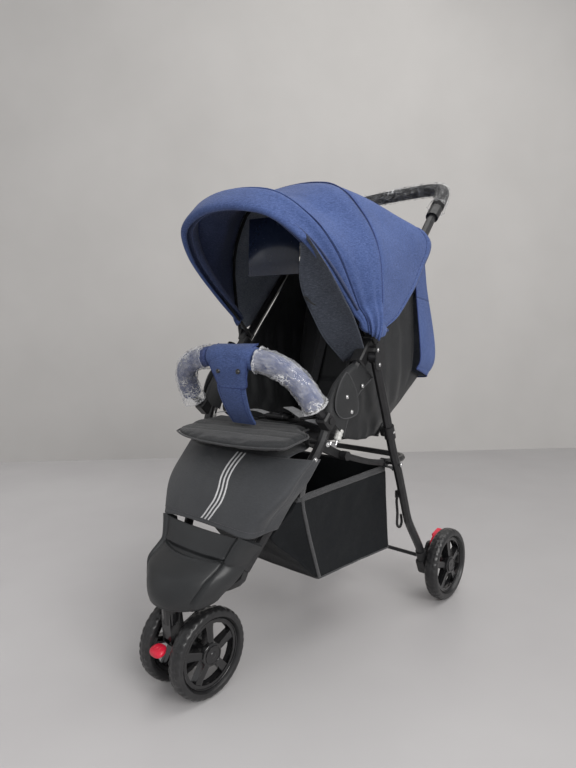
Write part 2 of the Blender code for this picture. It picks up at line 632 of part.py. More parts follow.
# ================================================================== front caster
def build_caster():
    axis = empty("axis_swivel", P(0, STEM_Y, 0.16))
    fork = plate("caster_fork", rounded_outline([(-0.058, 0.166), (-0.032, 0.166), (-0.027, 0.128), (-0.006, 0.104), (0.012, 0.092), (0.014, 0.070),
                                                 (-0.010, 0.064), (-0.030, 0.078), (-0.056, 0.104)], 0.007), 0.0240, 0.0)
    collar = cylinder("collar", P(0, STEM_Y, 0.1400), P(0, STEM_Y, 0.1690), 0.0150, 18, 0.0175)
    stem = cylinder("stem", P(0, STEM_Y, 0.1600), P(0, STEM_Y, 0.2000), 0.0080, 16)
    hub = cylinder("hub", P(-0.0265, 0, FRONT_WHEEL_R), P(0.0265, 0, FRONT_WHEEL_R), 0.0129, 14)
    fork = union(fork, collar, stem, hub)
    fork = cut(fork, cylinder("bore", P(-0.04, 0, FRONT_WHEEL_R), P(0.04, 0, FRONT_WHEEL_R), 0.0043, 14),
               block("tab_slot", P(0, -0.0620, 0.0945), (0.0145, 0.0320, 0.0370), 0.0))
    attach(finish(fork, BLACK, 0.4), axis)
    axle = cylinder("front_axle", P(-0.0520, 0, FRONT_WHEEL_R), P(0.0520, 0, FRONT_WHEEL_R), 0.0040, 14)
    attach(finish(axle, ZINC, 0.3, 1.0), axis)
    tab = block("swivel_lock_tab", P(0, -0.0680, 0.0950), (0.0130, 0.0330, 0.0150), 0.0025, Matrix.Rotation(0.30, 3, "X"))
    lip = block("lip", P(0, -0.0790, 0.0900), (0.0200, 0.0150, 0.0125), 0.003, Matrix.Rotation(0.30, 3, "X"))
    tab = union(tab, lip)
    attach(finish(tab, RED, 0.35), empty("axis_swivel_lock", P(0, -0.0540, 0.0990)))
    for s, side in ((1, "right"), (-1, "left")):
        e = empty("axis_front_wheel_" + side, P(s * FRONT_WHEEL_X, 0, FRONT_WHEEL_R))
        wheel("front_wheel_" + side, s * FRONT_WHEEL_X, (0.0, FRONT_WHEEL_R), FRONT_WHEEL_R, FRONT_WHEEL_W, s, e)
        e = empty("axis_rear_wheel_" + side, P(s * REAR_WHEEL_X, *REAR_AXLE))
        wheel("rear_wheel_" + side, s * REAR_WHEEL_X, REAR_AXLE, REAR_WHEEL_R, REAR_WHEEL_W, s, e)


# ================================================================== canopy
def build_canopy():
    front = bow(132.8, -1.2, FRONT_X, FRONT_F, FRONT_R, n=24)
    f = tube("canopy_front_bow", front, BOW_R, 6)
    attach(finish(f, STEEL_BLACK, 0.4, 0.6), empty("axis_canopy_front", P(0, *CANOPY_PIVOT)))
    mid = bow(93.9, 3.1, MID_X, MID_F, MID_R, n=24)
    m = tube("canopy_mid_bow", mid, BOW_R, 6)
    attach(finish(m, STEEL_BLACK, 0.4, 0.6), empty("axis_canopy_mid", P(0, *CANOPY_PIVOT)))
    n = 22
    rows = [bow(138.5, -1.0, FRONT_X, FRONT_F, FRONT_R - 0.012, out=0.0065, n=n),
            bow(138.5, -1.2, FRONT_X, FRONT_F, FRONT_R, out=0.007, n=n),
            bow(135.5, -3.0, FRONT_X, FRONT_F, FRONT_R, out=0.0095, n=n),
            bow(132.5, -4.0, SEAM_X, SEAM_F, SEAM_R, out=0.000, n=n),
            bow(128.5, -2.0, SEAM_X, SEAM_F, SEAM_R - 0.004, out=0.0, n=n),
            bow(118.5, -2.0, (0.180, 0.189, 0.189, 0.164, 0.109), SEAM_F, 0.3270, out=0.0, n=n),
            bow(106.0, 1.0, (0.187, 0.196, 0.194, 0.166, 0.110), MID_F, 0.3130, out=0.002, n=n),
            bow(94.5, 3.0, MID_X, MID_F, MID_R, out=0.0072, n=n)]
    # the lower ends stop above the fold joint
    rows = [r[1:-1] for r in rows]
    panel = shell("canopy_front_panel", rows, 0.0016, 0.0)
    finish(panel, BLUE, 0.9, smooth=60)
    attach(panel, bpy.data.objects["axis_canopy_front"])
    # rear panel: from the middle arch down to the edge behind the handle tubes
    start = bow(93.5, 3.0, MID_X, MID_F, MID_R, out=0.0072, n=24)[1:-1]
    half = [(0.2010, 0.332, 0.655), (0.2000, 0.375, 0.676), (0.1985, 0.418, 0.710), (0.1980, 0.458, 0.750), (0.1975, 0.490, 0.788), (0.1970, 0.512, 0.818),
            (0.1950, 0.517, 0.842), (0.1875, 0.4980, 0.8615), (0.1665, 0.5020, 0.8710), (0.1250, 0.5170, 0.8820), (0.0640, 0.5300, 0.8900), (0.0, 0.5340, 0.8920)]
    half = half[::-1]
    m_ = len(start)
    end = [P(-a, b, c) for a, b, c in half[::-1]] + [P(a, b, c) for a, b, c in half[1:]]
    if (start[0] - end[0]).length > (start[0] - end[-1]).length:
        end = end[::-1]
    rows = []
    for k in range(6):
        t = k / 5
        row = []
        for i, (a, b) in enumerate(zip(start, end)):
            p = a.lerp(b, t)
            crown = math.sin(math.pi * i / (m_ - 1))
            lift = 0.005 * math.sin(math.pi * t) * crown
            p = p + Vector((0, 0.35 * lift, lift))
            row.append(p)
        rows.append(row)
    rear = shell("canopy_rear_panel", rows, 0.0016, 0.0)
    finish(rear, BLUE, 0.9, smooth=60)


# ================================================================== seat
def sheet_loft(name, rings, rgb, rough=0.9, smooth=60):
    return finish(loft(name, rings), rgb, rough, smooth=smooth)


def build_seat():
    # seat pan, a padded slab that is a little deeper at the back
    def pan_ring(x, top, bottom):
        ring = []
        for t in (0.0, 0.25, 0.5, 0.75, 1.0):
            y = 0.196 + (0.405 - 0.196) * t
            ring.append(P(x, y, top - 0.012 * t))
        for t in (1.0, 0.75, 0.5, 0.25, 0.0):
            y = 0.200 + (0.398 - 0.200) * t
            ring.append(P(x, y, bottom - 0.020 * t))
        return ring
    xs = (-0.122, -0.115, -0.06, 0.0, 0.06, 0.115, 0.122)
    tops = (0.456, 0.4635, 0.4655, 0.4655, 0.4655, 0.4635, 0.456)
    bots = (0.442, 0.4335, 0.431, 0.4305, 0.431, 0.4335, 0.442)
    sheet_loft("seat_pan", [pan_ring(x, a, b) for x, a, b in zip(xs, tops, bots)], BLACK)
    # backrest
    hinge = (0.4180, 0.4700)
    top = (0.5180, 0.8350)
    d = Vector((0, top[0] - hinge[0], top[1] - hinge[1])).normalized()
    nrm = Vector((0, d.z, -d.y))
    rings = []
    for t, w in ((0.0, 0.112), (0.04, 0.119), (0.25, 0.122), (0.34, 0.130), (0.6, 0.137), (0.9, 0.137), (0.98, 0.130), (1.0, 0.118)):
        c = P(0, *hinge).lerp(P(0, *top), t)
        th = 0.0085 if 0.02 < t < 0.99 else 0.0055
        ring = [c + nrm * th * q + Vector((x * w, 0, 0)) for x, q in ((-1, -0.5), (-0.93, -1), (-0.5, -1), (0, -1), (0.5, -1), (0.93, -1), (1, -0.5),
                                                                     (1, 0.5), (0.93, 1), (0.5, 1), (0, 1), (-0.5, 1), (-0.93, 1), (-1, 0.5))]
        rings.append(ring)
    sheet_loft("backrest", rings, BLACK)
    attach(bpy.data.objects["backrest"], empty("axis_backrest", P(0, *hinge)))
    # side wings between seat and canopy
    for s, side in ((1, "right"), (-1, "left")):
        rings = []
        for z, xi, xo, y0, y1 in ((0.470, 0.1130, 0.1215, 0.205, 0.385), (0.524, 0.1130, 0.1215, 0.222, 0.406), (0.548, 0.1280, 0.1370, 0.240, 0.448),
                                  (0.575, 0.1400, 0.1495, 0.262, 0.480), (0.640, 0.1425, 0.1515, 0.330, 0.500), (0.720, 0.1430, 0.1520, 0.385, 0.508),
                                  (0.800, 0.1430, 0.1520, 0.440, 0.512), (0.850, 0.1430, 0.1520, 0.474, 0.512)):
            rings.append([P(s * xi, y0, z), P(s * xi, (y0 + y1) / 2, z), P(s * xi, y1, z), P(s * xo, y1, z), P(s * xo, (y0 + y1) / 2, z), P(s * xo, y0, z)])
        sheet_loft("side_wing_" + side, rings, LINING)
    # leg rest: a padded board in front of the seat, hinged at the seat's front edge
    # its rear corners are cut back, so that the side links swing up past them
    outline = [(-0.1235, 0.190), (-0.1235, 0.170), (-0.144, 0.158), (-0.146, 0.135), (-0.145, 0.088), (-0.132, 0.076), (-0.092, 0.063), (-0.045, 0.056), (0.0, 0.054),
               (0.045, 0.056), (0.092, 0.063), (0.132, 0.076), (0.145, 0.088), (0.146, 0.135), (0.144, 0.158), (0.1235, 0.170), (0.1235, 0.190)]
    lo = [P(x, y, 0.4380 + 0.162 * (y - 0.060)) for x, y in outline]
    hi = [p + Vector((0, 0, 0.0125)) for p in lo]
    sheet_loft("leg_rest", [lo, hi], BLACK, smooth=0)
    attach(bpy.data.objects["leg_rest"], empty("axis_leg_rest", P(0, 0.190, 0.4620)))
    # waist straps from the seat's sides towards the middle
    for s, side in ((1, "right"), (-1, "left")):
        a = [(0.108, 0.300), (0.085, 0.268), (0.060, 0.248), (0.030, 0.240)]
        ring = []
        for x, y in a:
            c = P(s * x, y, 0.4690)
            ring.append([c + Vector((0, -0.0115, -0.0009)), c + Vector((0, 0.0115, -0.0009)), c + Vector((0, 0.0115, 0.0009)), c + Vector((0, -0.0115, 0.0009))])
        sheet_loft("waist_strap_" + side, ring, (0.16, 0.16, 0.17), smooth=30)
    bk = block("harness_buckle", P(0, 0.2385, 0.4725), (0.0520, 0.0340, 0.0120), 0.003)
    finish(bk, BLACK, 0.4)


def build_apron():
    """Front fabric from the nose's top edge up to the leg rest, wrapped round both side tubes."""
    rows = []
    pts = side_tube_points(1)
    for t in (0.0, 0.12, 0.28, 0.45, 0.62, 0.8, 1.0):
        zt = 0.298 + (0.418 - 0.298) * t
        j = max(1, next(i for i, p in enumerate(pts) if p.z >= zt))
        f = (zt - pts[j - 1].z) / (pts[j].z - pts[j - 1].z)
        c = pts[j - 1].lerp(pts[j], f)
        xt, yt = c.x, c.y - Y_SHIFT
        swell = math.sin(math.pi * t)
        yc = 0.0205 + (0.1040 - 0.0205) * t - 0.010 * swell
        zc = 0.3035 + (0.4235 - 0.3035) * t
        xk = 0.1150 + (0.1610 - 0.1150) * t + 0.010 * swell
        yk = 0.0290 + (0.1370 - 0.0290) * t - 0.009 * swell
        zk = 0.3030 + (0.4210 - 0.3030) * t
        half = [(xt + 0.0135, yt + 0.0060, zt - 0.002), (max(xt + 0.0140, xk), yk + (yt - yk) * (0.75 - 0.25 * t), zt), (xk, yk, zk),
                (xk * 0.56, yc + 0.10 * (yk - yc), zc * 0.8 + zk * 0.2), (xk * 0.28, yc + 0.01 * (yk - yc), zc)]
        rows.append([P(-x, y, z) for x, y, z in half] + [P(0, yc, zc)] + [P(x, y, z) for x, y, z in half[::-1]])
    finish(shell("apron", rows, 0.0020, 0.0), CHARCOAL, 0.9, smooth=60)


def build_basket():
    """Open fabric tray between the side tubes and the rear legs."""
    outer = [(0.144, 0.346, 0.1365), (0.104, 0.268, 0.0940), (0.212, 0.166, 0.1250), (0.463, 0.158, 0.1340), (0.438, 0.352, 0.1370)]
    inner = [(0.1475, 0.400, 0.1335), (0.1085, 0.268, 0.0910), (0.214, 0.1705, 0.1220), (0.4595, 0.1625, 0.1310), (0.4345, 0.400, 0.1340)]

    def prism(name, poly):
        return loft(name, [[P(-x, y, z) for y, z, x in poly], [P(x, y, z) for y, z, x in poly]])
    tray = prism("basket", outer)
    void = prism("void", inner)
    finish(cut(tray, void), BLACK, 0.9, smooth=0)


def build_rear_flap():
    """Blue fabric behind the reclining seat, then the black sling that closes the seat's underside."""
    blue = [(0.540, 0.868, 0.155, 0.030), (0.572, 0.820, 0.155, 0.056), (0.592, 0.740, 0.154, 0.072), (0.607, 0.680, 0.152, 0.082), (0.617, 0.620, 0.149, 0.086),
            (0.613, 0.575, 0.146, 0.080), (0.590, 0.5420, 0.143, 0.062)]
    black = [(0.5860, 0.5400, 0.1425, 0.061), (0.525, 0.5020, 0.139, 0.040), (0.470, 0.4640, 0.1340, 0.022), (0.4310, 0.4400, 0.1290, 0.010)]
    for name, prof, rgb in (("rear_flap", blue, BLUE), ("seat_sling", black, BLACK)):
        rows = []
        for y, z, w, back in prof:
            up = 0.35 * back if name == "seat_sling" or z < 0.56 else 0.1 * back
            half = [(w, y - back, z + up), (w, y - back * 0.45, z + up * 0.45), (w * 0.93, y - back * 0.10, z + up * 0.1), (w * 0.5, y, z)]
            rows.append([P(-a, b, c) for a, b, c in half] + [P(0, y + 0.001, z)] + [P(a, b, c) for a, b, c in half[::-1]])
        finish(shell(name, rows, 0.0020, 0.0), rgb, 0.9, smooth=60)


# ================================================================== bumper bar
def build_bumper():
    d = Vector(BUMPER_DIR).normalized()
    base = P(0.1690, 0.1800, 0.4860)
    half = [(0.1690, 0.1490, 0.5150), (0.1635, 0.1320, 0.5420), (0.1470, 0.1160, 0.5690), (0.1150, 0.1040, 0.5890), (0.0620, 0.0980, 0.6005), (0.0, 0.0960, 0.6040)]
    plug0 = base - d * 0.0014
    start = base + d * 0.0160
    pts = [plug0, start] + [P(*p) for p in half]
    other = [Vector((-p.x, p.y, p.z)) for p in pts[:-1]][::-1]
    path = [pts[0]] + smooth_path(pts[1:] + other[:-1], 2) + [other[-1]]
    bar = tube("bumper_tube", path, 0.0080, 8)
    axis = empty("axis_bumper", P(0, 0.18, 0.486))
    attach(finish(bar, STEEL_BLACK, 0.4, 0.6), axis)
    core_path = path
    run = smooth_path([P(*p) for p in half] + [P(-a, b, c) for a, b, c in half[:-1][::-1]], 2)
    # foam on both sides, and the fabric cover with its strap in the middle
    cover_x = 0.056
    span = []
    for a, b in zip(run, run[1:]):
        for cx in (cover_x, 0.0, -cover_x):
            if (a.x - cx) * (b.x - cx) < 0:
                span.append((cx, a.lerp(b, (cx - a.x) / (b.x - a.x))))
    at = dict(span)
    for s, side in ((1, "right"), (-1, "left")):
        pts2 = [p for p in run if p.x * s > cover_x + 0.006]
        edge = at[s * cover_x] + Vector((s * 0.0024, 0, 0))
        pts2 = [edge] + pts2[::-1] if s > 0 else [edge] + pts2
        f = tube("bumper_foam_" + side, pts2, 0.0200, 10)
        f = cut(f, tube("core", core_path, 0.0091, 8))
        attach(finish(f, BLUE, 0.85), axis)
    mid = [at[cover_x]] + [p for p in run if abs(p.x) < cover_x - 0.004] + [at[-cover_x]]
    cover = tube("crotch_cover", mid, 0.0222, 10)
    strap_rings = []
    for y, z, w, th in ((0.106, 0.594, 0.050, 0.014), (0.0920, 0.566, 0.049, 0.010), (0.0960, 0.534, 0.038, 0.007), (0.1120, 0.505, 0.027, 0.006), (0.1300, 0.4800, 0.0215, 0.006)):
        strap_rings.append([P(-w, y, z), P(-w * 0.5, y - th * 0.5, z), P(w * 0.5, y - th * 0.5, z), P(w, y, z), P(w * 0.5, y + th * 0.5, z), P(-w * 0.5, y + th * 0.5, z)])
    strap = loft("strap", strap_rings)
    cover = union(cover, strap)
    cover = cut(cover, tube("core", core_path, 0.0091, 8))
    attach(finish(cover, BLUE, 0.9), axis)


build_side_tubes()
build_handle()
build_joints()
build_nose()
build_bumper_sockets()
build_lock()
build_rear_legs()
build_brakes()
build_links()
build_caster()
build_canopy()
build_seat()
build_apron()
build_basket()
build_rear_flap()
build_bumper()
bpy.context.view_layer.update()
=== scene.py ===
"""Looks of the three-wheel folding stroller: fabrics, pads, films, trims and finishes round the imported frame.

Lengths are in metres. P() takes points laid out from the front axle, as the frame's source does.
"""
import json
import math

import bmesh
import bpy
import numpy as np
from mathutils import Matrix, Vector, noise

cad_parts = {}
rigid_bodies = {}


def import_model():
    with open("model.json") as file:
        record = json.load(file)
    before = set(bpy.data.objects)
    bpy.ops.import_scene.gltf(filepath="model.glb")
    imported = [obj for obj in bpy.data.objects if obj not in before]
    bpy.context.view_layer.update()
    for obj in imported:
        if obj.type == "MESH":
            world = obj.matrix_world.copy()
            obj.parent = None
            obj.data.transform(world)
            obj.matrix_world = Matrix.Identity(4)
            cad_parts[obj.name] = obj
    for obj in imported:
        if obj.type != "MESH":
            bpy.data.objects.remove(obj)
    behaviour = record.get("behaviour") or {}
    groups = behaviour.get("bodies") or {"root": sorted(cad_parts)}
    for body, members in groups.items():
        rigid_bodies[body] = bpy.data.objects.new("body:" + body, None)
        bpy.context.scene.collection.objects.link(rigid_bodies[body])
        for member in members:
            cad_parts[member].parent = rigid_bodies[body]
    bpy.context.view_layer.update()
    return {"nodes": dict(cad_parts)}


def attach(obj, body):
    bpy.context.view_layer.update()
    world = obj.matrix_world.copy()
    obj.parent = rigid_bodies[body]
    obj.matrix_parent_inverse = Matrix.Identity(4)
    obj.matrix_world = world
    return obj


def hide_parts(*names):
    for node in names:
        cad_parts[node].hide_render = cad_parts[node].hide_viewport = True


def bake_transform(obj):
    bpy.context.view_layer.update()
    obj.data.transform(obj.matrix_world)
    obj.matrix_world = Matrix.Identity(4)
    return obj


for _o in list(bpy.data.objects):
    bpy.data.objects.remove(_o, do_unlink=True)
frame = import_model()
NODES = frame["nodes"]

Y_SHIFT = -0.3119
TUBE_R = 0.0095
CANOPY_PIVOT = (0.3160, 0.6400)


def P(x, y, z):
    return Vector((x, y + Y_SHIFT, z))


def A(x, y, z):
    return np.array((x, y + Y_SHIFT, z), float)


# ================================================================== camera, light and stage
def make_camera():
    a, p, ro, f = 0.7246127, -0.0866060, -0.0067128, 559.04
    pos = Vector((0.78231, -0.92718, 0.64095))
    d = Vector((-math.sin(a) * math.cos(p), math.cos(a) * math.cos(p), math.sin(p)))
    r = Vector((math.cos(a), math.sin(a), 0))
    u = r.cross(d)
    r2 = r * math.cos(ro) + u * math.sin(ro)
    u2 = -r * math.sin(ro) + u * math.cos(ro)
    data = bpy.data.cameras.new("camera")
    data.sensor_fit = "VERTICAL"
    data.sensor_height = 36
    data.sensor_width = 36
    data.lens = f / 768 * 36
    data.clip_start, data.clip_end = 0.01, 50
    cam = bpy.data.objects.new("camera", data)
    bpy.context.scene.collection.objects.link(cam)
    cam.matrix_world = Matrix(((r2.x, u2.x, -d.x, pos.x), (r2.y, u2.y, -d.y, pos.y), (r2.z, u2.z, -d.z, pos.z), (0, 0, 0, 1)))
    bpy.context.scene.camera = cam


def area(name, at, to, size, size_y, power, rgb=(1, 1, 1)):
    data = bpy.data.lights.new(name, "AREA")
    data.shape = "RECTANGLE"
    data.size, data.size_y = size, size_y
    data.energy = power
    data.color = rgb
    o = bpy.data.objects.new(name, data)
    bpy.context.scene.collection.objects.link(o)
    o.location = at
    o.rotation_mode = "QUATERNION"
    o.rotation_quaternion = (Vector(to) - Vector(at)).to_track_quat("-Z", "Y")


def make_light():
    area("ceiling", (0.7, 0.35, 2.7), (0.0, 0.1, 0.3), 2.6, 2.2, 33, (1.0, 0.985, 0.96))
    area("window", (-1.9, -2.3, 1.6), (0.0, 0.0, 0.5), 1.6, 1.8, 3, (0.96, 0.98, 1.0))
    area("fill", (2.5, -0.9, 1.7), (0.1, 0.1, 0.55), 1.5, 1.3, 46, (1.0, 0.985, 0.97))
    area("strip", (2.1, -1.7, 2.0), (0.0, -0.1, 0.5), 1.3, 0.10, 5, (1.0, 1.0, 1.0))
    world = bpy.data.worlds.new("world")
    bpy.context.scene.world = world
    world.use_nodes = True
    world.node_tree.nodes["Background"].inputs["Color"].default_value = (0.86, 0.86, 0.87, 1)
    world.node_tree.nodes["Background"].inputs["Strength"].default_value = 0.535
    bpy.context.scene.view_settings.view_transform = "Standard"
    bpy.context.scene.view_settings.look = "None"


# ================================================================== node materials
class Nodes:
    """A principled material with helpers that add nodes and links."""

    def __init__(self, name, rough=0.6, metal=0.0, spec=0.5, sheen=0.0, coat=0.0, coat_rough=0.1):
        self.mat = bpy.data.materials.new(name)
        self.mat.use_nodes = True
        self.tree = self.mat.node_tree
        self.b = self.tree.nodes["Principled BSDF"]
        for key, value in (("Roughness", rough), ("Metallic", metal), ("Specular IOR Level", spec), ("Sheen Weight", sheen),
                           ("Sheen Roughness", 0.5), ("Coat Weight", coat), ("Coat Roughness", coat_rough)):
            self.b.inputs[key].default_value = value

    def new(self, kind, **values):
        n = self.tree.nodes.new(kind)
        for key, value in values.items():
            if key in n.inputs:
                n.inputs[key].default_value = value
            else:
                setattr(n, key, value)
        return n

    def link(self, a, b):
        self.tree.links.new(a, b)

    def coords(self, scale=(1, 1, 1), turn=(0, 0, 0)):
        tc = self.tree.nodes.get("coords")
        if tc is None:
            tc = self.new("ShaderNodeTexCoord")
            tc.name = "coords"
        m = self.new("ShaderNodeMapping")
        m.inputs["Scale"].default_value = scale
        m.inputs["Rotation"].default_value = turn
        self.link(tc.outputs["Object"], m.inputs["Vector"])
        return m.outputs["Vector"]

    def noise(self, scale, stretch=(1, 1, 1), detail=3.0, rough=0.55, turn=(0, 0, 0)):
        n = self.new("ShaderNodeTexNoise")
        n.inputs["Scale"].default_value = scale
        n.inputs["Detail"].default_value = detail
        n.inputs["Roughness"].default_value = rough
        self.link(self.coords(stretch, turn), n.inputs["Vector"])
        return n.outputs["Fac"]

    def ramp(self, fac, stops, interpolation="LINEAR"):
        r = self.new("ShaderNodeValToRGB")
        r.color_ramp.interpolation = interpolation
        els = r.color_ramp.elements
        while len(els) < len(stops):
            els.new(0.5)
        for e, (pos, col) in zip(els, stops):
            e.position = pos
            e.color = (*col, 1) if len(col) == 3 else col
        self.link(fac, r.inputs["Fac"])
        return r.outputs["Color"]

    def math(self, op, a, b=None):
        m = self.new("ShaderNodeMath")
        m.operation = op
        for i, v in enumerate((a, b)):
            if v is None:
                continue
            if isinstance(v, (int, float)):
                m.inputs[i].default_value = v
            else:
                self.link(v, m.inputs[i])
        return m.outputs[0]

    def mix(self, fac, a, b, mode="MIX"):
        m = self.new("ShaderNodeMix")
        m.data_type = "RGBA"
        m.blend_type = mode
        for sock, v in ((m.inputs[0], fac), (m.inputs[6], a), (m.inputs[7], b)):
            if isinstance(v, (int, float)):
                sock.default_value = v
            elif isinstance(v, tuple):
                sock.default_value = (*v, 1)
            else:
                self.link(v, sock)
        return m.outputs[2]

    def bump(self, height, strength, distance, below=None):
        n = self.new("ShaderNodeBump")
        n.inputs["Strength"].default_value = strength
        n.inputs["Distance"].default_value = distance
        self.link(height, n.inputs["Height"])
        if below is not None:
            self.link(below, n.inputs["Normal"])
        return n.outputs["Normal"]

    def range(self, fac, lo, hi):
        r = self.new("ShaderNodeMapRange")
        r.inputs["To Min"].default_value = lo
        r.inputs["To Max"].default_value = hi
        self.link(fac, r.inputs["Value"])
        return r.outputs["Result"]

    def weave(self, pitch):
        """A woven height from sines along the three axes, so it needs no unwrapping."""
        k = 2 * math.pi / pitch
        v = self.coords((k, k, k))
        s = self.new("ShaderNodeVectorMath")
        s.operation = "SINE"
        self.link(v, s.inputs[0])
        x = self.new("ShaderNodeSeparateXYZ")
        self.link(s.outputs[0], x.inputs[0])
        xy = self.math("MULTIPLY", x.outputs[0], x.outputs[1])
        yz = self.math("MULTIPLY", x.outputs[1], x.outputs[2])
        zx = self.math("MULTIPLY", x.outputs[2], x.outputs[0])
        return self.math("ADD", self.math("ADD", xy, yz), zx)


def fabric(name, dark, mid, light, pitch=0.0011, rough=0.85, sheen=0.25, melange=1.0, weave=0.35, spec=0.25, crease=0.25):
    m = Nodes(name, rough, spec=spec, sheen=sheen)
    weft = m.noise(1.0, (170, 170, 1150), 3.0, 0.6)
    warp = m.noise(1.0, (1150, 1150, 170), 3.0, 0.6)
    both = m.math("ADD", m.math("MULTIPLY", weft, 0.6), m.math("MULTIPLY", warp, 0.4))
    spread = 0.16 * melange
    col = m.ramp(both, [(0.5 - spread, dark), (0.5, mid), (0.5 + spread, light)])
    worn = m.noise(14.0, detail=4.0)
    shade = m.ramp(worn, [(0.3, (0.90, 0.90, 0.91)), (0.7, (1.07, 1.07, 1.06))])
    m.link(m.mix(1.0, col, shade, "MULTIPLY"), m.b.inputs["Base Color"])
    m.link(m.range(m.noise(60.0), rough - 0.08, min(1.0, rough + 0.08)), m.b.inputs["Roughness"])
    soft = m.bump(m.noise(38.0, detail=4.0, rough=0.5), crease, 0.004)
    m.link(m.bump(m.weave(pitch), weave, 0.0002, soft), m.b.inputs["Normal"])
    return m.mat


def plastic(name, rgb, rough=0.5, grain=0.15, spec=0.5, coat=0.0, wear=0.25, light=None):
    m = Nodes(name, rough, spec=spec, coat=coat)
    light = light or tuple(min(1.0, c * 1.8 + 0.02) for c in rgb)
    geo = m.new("ShaderNodeNewGeometry")
    edge = m.ramp(geo.outputs["Pointiness"], [(0.50, (0, 0, 0)), (0.60, (1, 1, 1))])
    rubbed = m.math("MULTIPLY", edge, m.ramp(m.noise(160.0, detail=5.0), [(0.45, (0, 0, 0)), (0.7, (1, 1, 1))]))
    base = m.mix(m.math("MULTIPLY", rubbed, wear), rgb, light)
    tint = m.ramp(m.noise(22.0, detail=5.0), [(0.3, (0.88, 0.88, 0.88)), (0.7, (1.1, 1.1, 1.1))])
    m.link(m.mix(1.0, base, tint, "MULTIPLY"), m.b.inputs["Base Color"])
    m.link(m.range(m.noise(45.0, detail=6.0), rough * 0.8, min(1.0, rough * 1.25)), m.b.inputs["Roughness"])
    m.link(m.bump(m.noise(1400.0, detail=2.0), grain, 0.0004), m.b.inputs["Normal"])
    return m.mat


def painted_steel(name):
    m = Nodes(name, 0.38, spec=0.5)
    m.link(m.ramp(m.noise(60.0, detail=5.0), [(0.3, (0.010, 0.010, 0.011)), (0.7, (0.020, 0.020, 0.022))]), m.b.inputs["Base Color"])
    m.link(m.range(m.noise(30.0, detail=6.0), 0.28, 0.46), m.b.inputs["Roughness"])
    m.link(m.bump(m.noise(1800.0, detail=2.0), 0.12, 0.0003), m.b.inputs["Normal"])
    return m.mat


def metal(name, rgb, rough=0.3):
    m = Nodes(name, rough, metal=1.0)
    m.link(m.mix(m.ramp(m.noise(200.0, detail=5.0), [(0.35, (0, 0, 0)), (0.75, (1, 1, 1))]), rgb, tuple(c * 0.75 for c in rgb)), m.b.inputs["Base Color"])
    m.link(m.range(m.noise(90.0, detail=5.0), rough * 0.7, rough * 1.4), m.b.inputs["Roughness"])
    m.link(m.bump(m.noise(900.0, (1, 1, 0.2)), 0.08, 0.0002), m.b.inputs["Normal"])
    return m.mat


def rubber(name):
    m = Nodes(name, 0.45, spec=0.55)
    m.link(m.ramp(m.noise(50.0, detail=6.0), [(0.35, (0.013, 0.013, 0.014)), (0.62, (0.021, 0.021, 0.022)), (0.8, (0.040, 0.039, 0.037))]), m.b.inputs["Base Color"])
    m.link(m.range(m.noise(35.0, detail=5.0), 0.24, 0.42), m.b.inputs["Roughness"])
    m.link(m.bump(m.noise(700.0, detail=4.0), 0.20, 0.0004), m.b.inputs["Normal"])
    return m.mat


def foam(name):
    m = Nodes(name, 0.8, spec=0.3)
    m.link(m.ramp(m.noise(700.0, detail=3.0), [(0.35, (0.005, 0.005, 0.006)), (0.65, (0.016, 0.016, 0.017))]), m.b.inputs["Base Color"])
    m.link(m.bump(m.noise(900.0, detail=4.0), 0.5, 0.0006), m.b.inputs["Normal"])
    m.link(m.range(m.noise(80.0), 0.7, 0.9), m.b.inputs["Roughness"])
    return m.mat


def film(name, low, high):
    """Thin clear wrapping film: mostly see-through and a little milky; white opaque lines on its creases and ridges are
    painted highlights, beside the real gloss highlights.
    """
    m = Nodes(name, 0.05, spec=1.0, coat=0.6, coat_rough=0.04)
    geo = m.new("ShaderNodeNewGeometry")
    # painted highlight: the wrap's sharp ridges (pointiness) are made whiter and more opaque
    ridge = m.ramp(geo.outputs["Pointiness"], [(0.515, (0, 0, 0)), (0.575, (1, 1, 1))])
    haze = m.ramp(m.noise(55.0, detail=4.0, rough=0.6), [(0.40, (0.15, 0.15, 0.15)), (0.72, (1, 1, 1))])
    m.b.inputs["Base Color"].default_value = (0.93, 0.94, 0.96, 1)
    # painted highlights: thin white lines in clustered patches, made nearly opaque, stand in for glints along the
    # creases
    painted_glint_lines = []
    for scale, stretch, turn, wide in ((30.0, (1.0, 1.0, 2.2), (0.4, 0.2, 0.0), 0.020), (52.0, (1.8, 1.0, 1.0), (0.0, 0.7, 0.3), 0.024)):
        off = m.math("ABSOLUTE", m.math("SUBTRACT", m.noise(scale, stretch, detail=2.0, rough=0.5, turn=turn), 0.5))
        painted_glint_lines.append(m.ramp(off, [(0.0, (1, 1, 1)), (wide * 0.35, (0.7, 0.7, 0.7)), (wide, (0, 0, 0))]))
    groups = m.ramp(m.noise(21.0, detail=2.0), [(0.44, (0, 0, 0)), (0.60, (1, 1, 1))])
    crease = m.math("MULTIPLY", m.math("MAXIMUM", painted_glint_lines[0], painted_glint_lines[1]), groups)
    soft = m.math("MAXIMUM", m.math("MULTIPLY", ridge, 0.55), m.math("MULTIPLY", haze, 0.22 if low > 0.01 else 0.10))
    m.link(m.range(m.math("MAXIMUM", crease, soft), low, high), m.b.inputs["Alpha"])
    m.link(m.range(haze, 0.04, 0.11), m.b.inputs["Roughness"])
    m.link(m.bump(m.noise(130.0, detail=3.0, rough=0.5), 0.5, 0.002), m.b.inputs["Normal"])
    return m.mat


